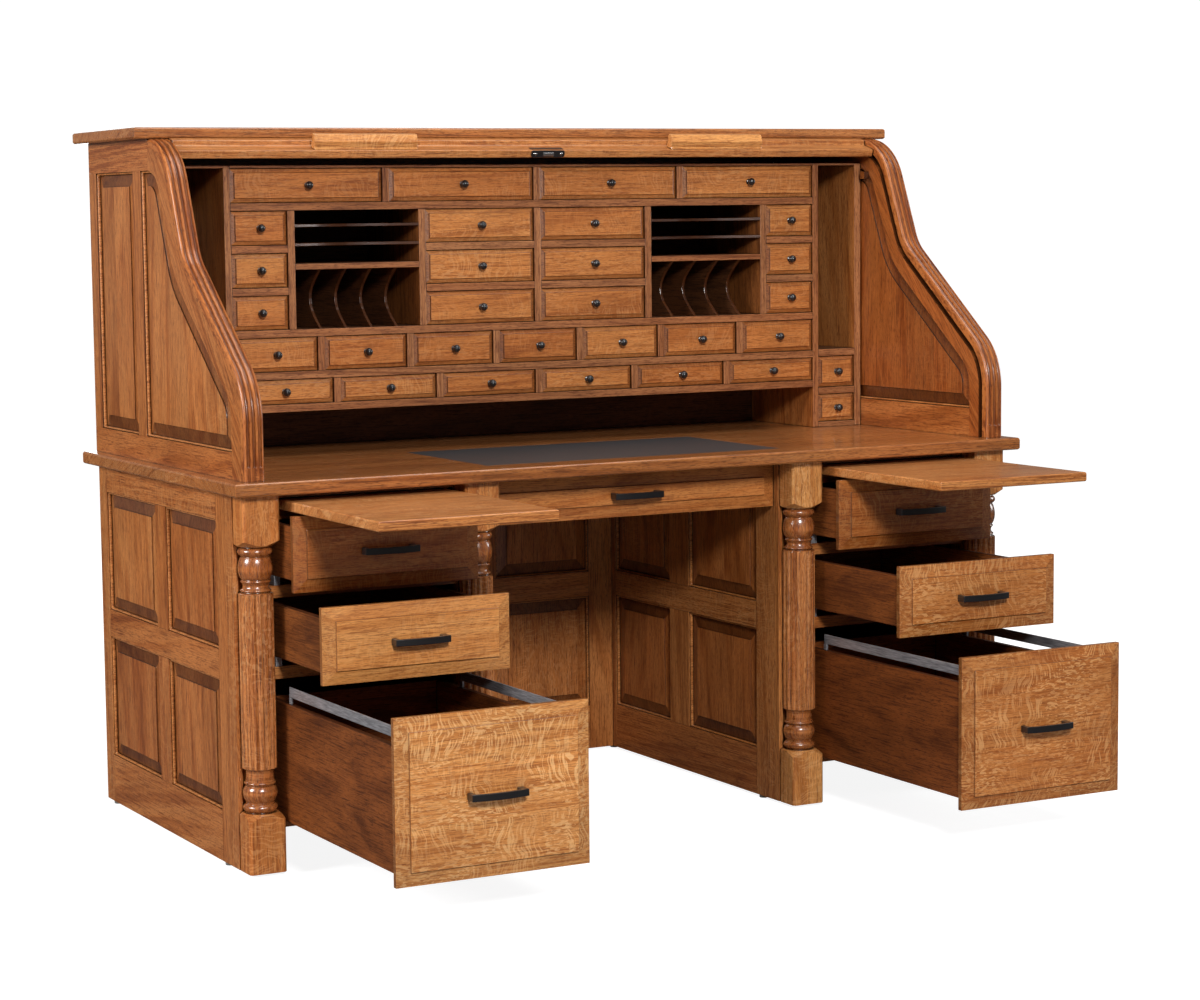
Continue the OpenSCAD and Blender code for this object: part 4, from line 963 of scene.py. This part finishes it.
# %% Set the four posts
post_parts = [make_turning(), make_block("post_foot", FOOT_LOW, FOOT_HIGH, False),
              make_block("post_head", HEAD_LOW, HEAD_HIGH, True)]
outer_axis, inner_axis = PEDESTAL_OUTER - POST / 2, PEDESTAL_INNER + POST / 2
tones = {-outer_axis: 0.3, -inner_axis: 0.4, inner_axis: 1.1, outer_axis: 0.8}
for number, (x, tone) in enumerate(tones.items(), 1):
    copies = [copy_at(part, f"post_{number}_{part.name}", (x, POST / 2 + FRONT, 0)) for part in post_parts]
    for copy in copies:
        paint(cut_from_log(copy, UPRIGHT, "quarter", tone, 0.7), front_oak)
        mark(copy, face=NONE)
    heights = points_of(copies[0])[:, 2]
    shaft = (heights > SHAFT_LOW) & (heights < SHAFT_HIGH)
    mark(copies[0], grain=np.outer(~shaft, UPRIGHT), tone=np.where(shaft, 0.85, 0.5))
    paint(copies[0], turned_oak)
    post = finish_piece(join(copies, f"turned_post_{number}", 0), "turned_posts")
for part in post_parts:
    bpy.data.objects.remove(part)
print("post triangles:", sum(len(p.vertices) - 2 for p in post.data.polygons))

# %% [markdown]
# ## Hutch ends
#
# The sweep of a roll-top is a straight line, an arc, a slope, a hollow, a steeper slope and a
# shoulder. The cap on its front edge is a moulding with flutes. Its section is a grid whose front
# row is shaped, and the section is extruded along the straight parts and spun round the arcs. The
# flutes are marked darker: painted shade in the grooves, together with the stain that gathers there.

# %% The sweep of the curve
DESK_HEIGHT, HUTCH_TOP = mm(762, 1421)
BELLY, SLOPE_LOW, SLOPE = 138 * MM, math.radians(38.4), 300 * MM
HOLLOW, SLOPE_HIGH, STEEP = 92 * MM, math.radians(67.5), 144 * MM
SHOULDER = 134 * MM
belly_low = (HUTCH_TOP - SHOULDER * (1 - math.cos(SLOPE_HIGH)) - STEEP * math.sin(SLOPE_HIGH)
             - HOLLOW * (math.cos(SLOPE_LOW) - math.cos(SLOPE_HIGH)) - SLOPE * math.sin(SLOPE_LOW)
             - BELLY * math.cos(SLOPE_LOW))


def toward(angle):
    return Vector((0, math.cos(angle), math.sin(angle)))


def left_of(angle):
    return Vector((0, -math.sin(angle), math.cos(angle)))


belly_centre = Vector((0, BELLY + FRONT, belly_low))
hollow_centre = (belly_centre + left_of(SLOPE_LOW) * BELLY + toward(SLOPE_LOW) * SLOPE
                 + left_of(SLOPE_LOW) * HOLLOW)
shoulder_start = hollow_centre - left_of(SLOPE_HIGH) * HOLLOW + toward(SLOPE_HIGH) * STEEP
shoulder_centre = shoulder_start - left_of(SLOPE_HIGH) * SHOULDER
print("the belly starts at", round(belly_low / MM, 1), "mm")

# %% Model the fluted cap
CAP_WIDTH, CAP_DEPTH, CAP_ROUND, END_INNER = mm(41, 18, 6, 842)
FLUTES, FLUTE_WIDTH, FLUTE_DEPTH, FLUTE_STOP = 3, 7.6 * MM, 4.2 * MM, 30 * MM
FLUTE_PITCH = CAP_WIDTH / FLUTES * 0.88
COLUMNS = 82
FLUTE_END = ((0, 0.6), (0.6, 0.9), (0.9, 1))    # a flute's end rises in three steps


def cap_round(x):
    """How far the section is drawn back at its two long corners."""
    edge = CAP_ROUND - (CAP_WIDTH / 2 - abs(x))
    return CAP_ROUND - math.sqrt(max(CAP_ROUND ** 2 - edge ** 2, 0)) if edge > 0 else 0


def flute(x):
    nearest = min(abs(x - FLUTE_PITCH * (k - (FLUTES - 1) / 2)) for k in range(FLUTES))
    inside = 1 - (2 * nearest / FLUTE_WIDTH) ** 2
    return FLUTE_DEPTH * math.sqrt(inside) if inside > 0 else 0


def shape_front(cap, depth):
    """Pushes the selected front row back by depth(x)."""
    done()
    for vertex in cap.data.vertices:
        if vertex.select and vertex.co.y < FRONT + CAP_DEPTH / 2:
            vertex.co.y += depth(vertex.co.x)
    bpy.ops.object.mode_set(mode="EDIT")


def spin(steps, angle, centre):
    """The spin operator counts its angle the other way round the axis."""
    bpy.ops.mesh.spin(steps=steps, angle=-angle, center=centre, axis=(1, 0, 0))


def make_cap():
    bpy.ops.mesh.primitive_grid_add(x_subdivisions=COLUMNS, y_subdivisions=1, size=1,
                                    location=(0, FRONT + CAP_DEPTH / 2, DESK_HEIGHT))
    cap = bpy.context.object
    cap.name = "fluted_cap"
    cap.scale = (CAP_WIDTH, CAP_DEPTH, 1)
    edit(settle(cap), "SELECT")
    shape_front(cap, cap_round)
    grow((0, 0, FLUTE_STOP - FLUTE_WIDTH / 2))
    for before, now in FLUTE_END:
        grow((0, 0, FLUTE_WIDTH / 6))
        shape_front(cap, lambda x: flute(x) * (now - before))
    grow((0, 0, belly_low - DESK_HEIGHT - FLUTE_STOP))
    spin(14, SLOPE_LOW - math.pi / 2, belly_centre)
    grow(toward(SLOPE_LOW) * SLOPE)
    spin(8, SLOPE_HIGH - SLOPE_LOW, hollow_centre)
    grow(toward(SLOPE_HIGH) * STEEP)
    spin(16, -SLOPE_HIGH, shoulder_centre)
    done()
    return cap


def lay_along_sweep(cap):
    """Grain that follows the curve: the rings of vertices give the distance along it."""
    row = 2 * (COLUMNS + 1)
    points = points_of(cap)
    backs = points.reshape(-1, row, 3)[:, :, 1:].max(1)
    walked = np.concatenate([[0], np.cumsum(np.linalg.norm(np.diff(backs, axis=0), axis=1))])
    log = np.stack([np.repeat(walked, row) + chance.uniform(0, LOG_LENGTH), points[:, 0] + MOULDING_IN_LOG,
                    np.tile(points[:row, 1], len(walked)) - FRONT + MOULDING_IN_LOG], 1)
    # Flutes are marked darker by their depth: painted shade in the grooves, with the stain there
    hollow = np.array([flute(x) for x in points[:, 0]]) / FLUTE_DEPTH
    mark(cap, log=log, grain=NONE, face=NONE, tone=0.35 - 1.6 * hollow, flecks=0.4)
    return cap


cap_pattern = lay_along_sweep(make_cap())
edit(cap_pattern, "SELECT")
bpy.ops.mesh.normals_make_consistent(inside=False)
done()
paint(smooth(cap_pattern, 50), case_oak)
print("cap:", in_mm(cap_pattern), "vertices:", len(cap_pattern.data.vertices))

# %% [markdown]
# ### Raised panels under the curve
#
# The panel's edge follows the sweep at a constant distance, and a shaper cutter runs round it. From
# the CAD copy only the hidden back face is kept. It is extruded to the edge's thickness, inset by the
# width of the bevel while it rises, and inset once more for the small step round the field.

# %% Model a curved raised panel
PANEL_RISE, PANEL_STEP, PANEL_BEVEL = mm(4.5, 2.5, 30)


def raise_panel(board, outward):
    """outward is +1 or -1 along X, from the hidden face to the field."""
    low, high = span(board)
    hidden = low[0] if outward > 0 else high[0]
    keep_hidden_face(board, 0, hidden)
    grow((outward * PANEL_EDGE, 0, 0))
    done()
    close_normals(board)
    face_x = hidden + outward * PANEL_EDGE
    choose(board, lambda c, n: abs(c.x - face_x) < NEAR)
    bpy.ops.mesh.inset(thickness=PANEL_BEVEL, depth=PANEL_RISE)
    bpy.ops.mesh.inset(thickness=0.6 * MM, depth=PANEL_STEP)
    done()
    return close_normals(board)


# %% Build the hutch ends
LAYER_LINE = 862 * MM           # the boards of the outer layer start beyond this
CURVE_STARTS, CURVE_HEIGHT = 60 * MM + FRONT, 500 * MM
ALONG_SLOPE = (0, 0.62, 0.78)


def dress_end(node, side):
    wood = []
    for board in boards_of(node):
        low, high = span(board)
        size = high - low
        if abs(size[0] - CAP_WIDTH) < 1 * MM and low[1] < FRONT + 1 * MM:
            bpy.data.objects.remove(board)      # the fluted cap takes its place
            continue
        outer = min(abs(low[0]), abs(high[0])) > LAYER_LINE
        curved = low[1] < CURVE_STARTS + 10 * MM and size[2] > CURVE_HEIGHT
        # The inner layer faces the desktop under the hutch and gets far lower tones: painted shade.
        if curved and low[1] > CURVE_STARTS:
            wood.append(make_bead(board))
            raise_panel(board, side if outer else -side)
            cut_from_log(board, UPRIGHT, "plain", 0.72 if outer else -0.7, 0.6)
        elif curved:
            cut_from_log(board, ALONG_SLOPE, "rift", 0.55 if outer else 0.1, 0.8)
        elif is_panel(size):
            cut_from_log(board, UPRIGHT, "plain", 0.7, 0.6)
            wood.append(make_bead(board))
        else:
            cut_from_log(board, None, "rift", chance.uniform(0.45, 0.75), 0.8)
        wood.append(paint(board, case_oak))
    finish_piece(join(wood, node + "_wood"), node)
    cap = copy_at(cap_pattern, node + "_cap", (side * (END_INNER + CAP_WIDTH / 2), 0, 0))
    finish_piece(cap, node, replace=False)


dress_end("hutch_left_end", -1)
dress_end("hutch_right_end", 1)
print("pieces so far:", len(made))

# %% [markdown]
# ## Letter dividers and tambour
#
# The dividers are thin boards with a hollowed front; their large faces lie in the dark of the bays.
# The slats are half-round strips glued side by side on cloth.

# %% Thin boards and slats
WIDE_FACE = 400 * MM * MM       # the faces of a divider that lie in the dark are larger than this
CANVAS = 2 * MM                 # the cloth is thinner than this, and no slat is
dividers = boards_of("letter_dividers")
for board in dividers:
    paint(cut_from_log(board, ALONG_Y, "rift", chance.uniform(0.2, 0.6), 0.4), case_oak)
divider_piece = finish_piece(join(dividers, "letter_divider_boards", 0.7 * MM), "letter_dividers")
# The large faces lie in the bays and take the dark inside finish: painted shade.
divider_piece.data.materials.append(inside_shade_oak)
for face in divider_piece.data.polygons:
    if face.area > WIDE_FACE:
        face.material_index = 1

for node in ("tambour_front_slats", "tambour_flat_slats", "tambour_rear_slats"):
    slats = boards_of(node)
    for slat in slats:
        low, high = span(slat)
        cut_from_log(slat, ALONG_DESK, "rift", chance.uniform(0.3, 0.7), 0.4)
        paint(slat, duck if min(high - low) < CANVAS else case_oak)
    finish_piece(join(slats, node + "_wood", 0.4 * MM), node)

# %% [markdown]
# ## Lead rail and finger lifts
#
# The rail is one moulded strip: a front face, a top that slopes back and a lip that closes the gap
# under the top board. It is a cube whose back part is extruded upwards. A lift is a short strip with
# a hollow for the fingers under a sloping lip. A cube is cut at four heights, the rows of vertices in
# between are moved back, and its upper front edge is cut off. The whole hangs at a slant.

# %% Model the rail and the lifts
RAIL_WIDTH, RAIL_DEPTH, RAIL_FRONT = mm(1682, 58, 17)
LIP_AT, LIP_HEIGHT, LIP_SLOPE = mm(21, 10.5, 3)
LIFT_WIDTH, LIFT_DEPTH, LIFT_HEIGHT, LIFT_X, LIFT_LIP = mm(234, 21, 30, 425, 12)
HOLLOWED = ((5, 2.5), (9, 4), (13, 3), (17, 0))     # mm above the rail, mm back
on_rail = Matrix.Translation((0, 488 * MM + FRONT, 1396 * MM)) @ Matrix.Rotation(math.radians(17), 4, "X")


def move_back(obj, test, distance):
    choose(obj, test, "VERT")
    bpy.ops.transform.translate(value=(0, distance, 0))
    done()


rail = cube("rail", (-RAIL_WIDTH / 2, -RAIL_DEPTH, 0), (RAIL_WIDTH / 2, 0, RAIL_FRONT))
cut_at(rail, (0, -LIP_AT, 0), ALONG_Y)
choose(rail, lambda c, n: n.z > 0.9 and c.y > -LIP_AT)
grow((0, 0, LIP_HEIGHT))
done()
move_back(rail, lambda c, n: abs(c.y + LIP_AT) < NEAR and c.z > RAIL_FRONT + 1 * MM, LIP_SLOPE)
parts = [soften(close_normals(rail), 2.2 * MM, 3)]
front = -RAIL_DEPTH + 3 * MM
top = RAIL_FRONT + LIFT_HEIGHT - NEAR
for middle in (-LIFT_X, LIFT_X):
    lift = cube("lift", (middle - LIFT_WIDTH / 2, front, RAIL_FRONT + 0.2 * MM),
                (middle + LIFT_WIDTH / 2, front + LIFT_DEPTH, RAIL_FRONT + LIFT_HEIGHT))
    for height, back in HOLLOWED:
        level = RAIL_FRONT + height * MM
        cut_at(lift, (0, 0, level), UPRIGHT)
        move_back(lift, lambda c, n: c.y < front + 1 * MM and abs(c.z - level) < NEAR, back * MM)
    move_back(lift, lambda c, n: c.y < front + 1 * MM and c.z > top, LIFT_LIP)
    parts.append(soften(close_normals(lift), 0.9 * MM))
for part in parts:
    part.data.transform(on_rail)
    mark(cut_from_log(part, ALONG_DESK, "quarter", 1.1, 0.5), face=NONE)
    paint(part, case_oak if part == rail else front_oak)
finish_piece(join(parts, "tambour_rail_wood", 0), "tambour_rail")

# %% [markdown]
# ## Lock
#
# The lock shows a black face plate with rounded corners and two screws, a bright latch in it and a
# thin black strike on the slope of the rail. A screw head is a turned disc with a slot cut across it.

# %% Model the lock
PLATE_WIDTH, PLATE_HEIGHT, PLATE, PLATE_LOW, PLATE_CORNER = mm(80, 15, 2.4, 1.6, 4.5)
LATCH_WIDTH, LATCH_LOW, LATCH_HIGH, LATCH_OUT = mm(26, 4.5, 12.5, 3)
STRIKE_WIDTH, STRIKE_FRONT, STRIKE_BACK, STRIKE = mm(78, 5, 17, 1.4)
SCREW_HEAD = [(0, 3.2 * MM), (0.5 * MM, 3.2 * MM), (0.9 * MM, 2.6 * MM)]    # heights and radii
SCREW_X, SLOT_LENGTH, SLOT_WIDTH, SLOT_FLOOR = mm(31, 8, 0.8, 0.4)
plate_back = -RAIL_DEPTH - 0.2 * MM
plate_front = plate_back - PLATE
plate = cube("plate", (-PLATE_WIDTH / 2, plate_front, PLATE_LOW),
             (PLATE_WIDTH / 2, plate_back, PLATE_LOW + PLATE_HEIGHT))
bevel_edges(plate, 1, 1 * MM, PLATE_CORNER, 5)
latch = cube("latch", (-LATCH_WIDTH / 2, plate_front - LATCH_OUT, LATCH_LOW),
             (LATCH_WIDTH / 2, plate_front - 0.2 * MM, LATCH_HIGH))
strike = cube("strike", (-STRIKE_WIDTH / 2, -RAIL_DEPTH + STRIKE_FRONT, RAIL_FRONT + NEAR),
              (STRIKE_WIDTH / 2, -RAIL_DEPTH + STRIKE_BACK, RAIL_FRONT + STRIKE))
metal = [paint(soften(plate, 0.5 * MM), powder_black), paint(soften(latch, 1.4 * MM, 3), nickel),
         paint(soften(strike, 0.5 * MM), powder_black)]
for x in (-SCREW_X, SCREW_X):
    screw = turn_shape("screw", SCREW_HEAD, 20)
    slot = cube("slot", (-SLOT_LENGTH / 2, -SLOT_WIDTH / 2, SLOT_FLOOR),
                (SLOT_LENGTH / 2, SLOT_WIDTH / 2, 2 * MM))
    modify(screw, "BOOLEAN", operation="DIFFERENCE", object=slot)
    bpy.data.objects.remove(slot)
    screw.data.transform(Matrix.Translation((x, plate_front - 0.05 * MM, PLATE_LOW + PLATE_HEIGHT / 2))
                         @ Matrix.Rotation(math.radians(90), 4, "X"))
    metal.append(paint(smooth(screw, 30), nickel))
for part in metal:
    part.data.transform(on_rail)
finish_piece(join(metal, "tambour_lock_metal", 0), "tambour_lock")

for pattern in (pull_pattern, knob_pattern, cap_pattern):
    bpy.data.objects.remove(pattern)
print("pieces:", len(made))

# %% [markdown]
# ## Floor and light
#
# The desk stands on a white floor under soft lamps, as in a studio. A lamp at the left of the camera
# is the key, one lights the left side, weaker ones fill the right side and the back, and one above
# lights the tops. The floor and the world are white to the camera, except for a painted shadow that
# greys the floor round the desk. They light the desk only weakly and are dark in its reflections,
# because a lacquered side would mirror a white floor and go grey.

# %% Floor
WHITE = (1, 1, 1, 1)
GREY, GREY_IN_GLOSS = 0.42, 0.08
bpy.ops.mesh.primitive_plane_add(size=30, location=(0, 0, 0))
floor = bpy.context.object
floor.name = "studio_floor"
paper, add = new_material("paper_white_floor")
away = add("VectorMath LENGTH", (add("TexCoord", (), "Object"),), "Value")
# Painted shadow: the floor's glow is greyer near the desk and white further away.
glow_with_painted_shadow = add("MapRange", (away, 1.2, 3.0, 0.90, 1))      # whiter further away from the desk
glow_with_painted_shadow = add("Math MULTIPLY", (add("LightPath", (), "Is Camera Ray"), glow_with_painted_shadow))
grey = add("MapRange", (add("LightPath", (), "Is Glossy Ray"), 0, 1, GREY, GREY_IN_GLOSS))
matt, white = add("BsdfDiffuse", (grey,)), add("Emission", (WHITE, glow_with_painted_shadow))
add("OutputMaterial", (add("AddShader", (matt, white)),))
paint(floor, paper)

# %% World
AMBIENT, REFLECTED = 0.075, 0.07
world = bpy.data.worlds.new("studio")
bpy.context.scene.world = world
world.use_nodes = True
world.node_tree.nodes.clear()
add = partial(add_node, world.node_tree)
strength = AMBIENT
for ray, more in (("Is Glossy Ray", REFLECTED), ("Is Camera Ray", 1)):
    strength = add("Math MULTIPLY_ADD", (add("LightPath", (), ray), more, strength))
add("OutputWorld", (add("Background", (WHITE, strength)),))

# %% Lamps
for name, place, target, size, watts in (
        ("key_softbox", (-1.5, -5.2, 3.3), (0, 0, 0.7), (1.0, 1.0), 245),
        ("side_softbox", (-4.4, -0.3, 2.3), (-0.9, 0, 0.85), (1.4, 1.4), 140),
        ("fill_softbox", (4.6, -0.8, 2.0), (0.9, 0, 0.75), (1.4, 1.8), 60),
        ("top_softbox", (0.2, -0.6, 3.9), (0, 0, 0.8), (3.0, 2.0), 58),
        ("back_softbox", (1.4, 5.0, 2.0), (0, 0.4, 0.7), (2.0, 2.0), 60)):
    light = bpy.data.lights.new(name, "AREA")
    light.shape = "RECTANGLE"
    light.size, light.size_y = size
    light.energy = watts
    lamp = bpy.data.objects.new(name, light)
    lamp.location = place
    lamp.rotation_euler = (Vector(target) - Vector(place)).to_track_quat("-Z", "Y").to_euler()
    bpy.context.scene.collection.objects.link(lamp)
bpy.context.scene.view_settings.view_transform = "Standard"
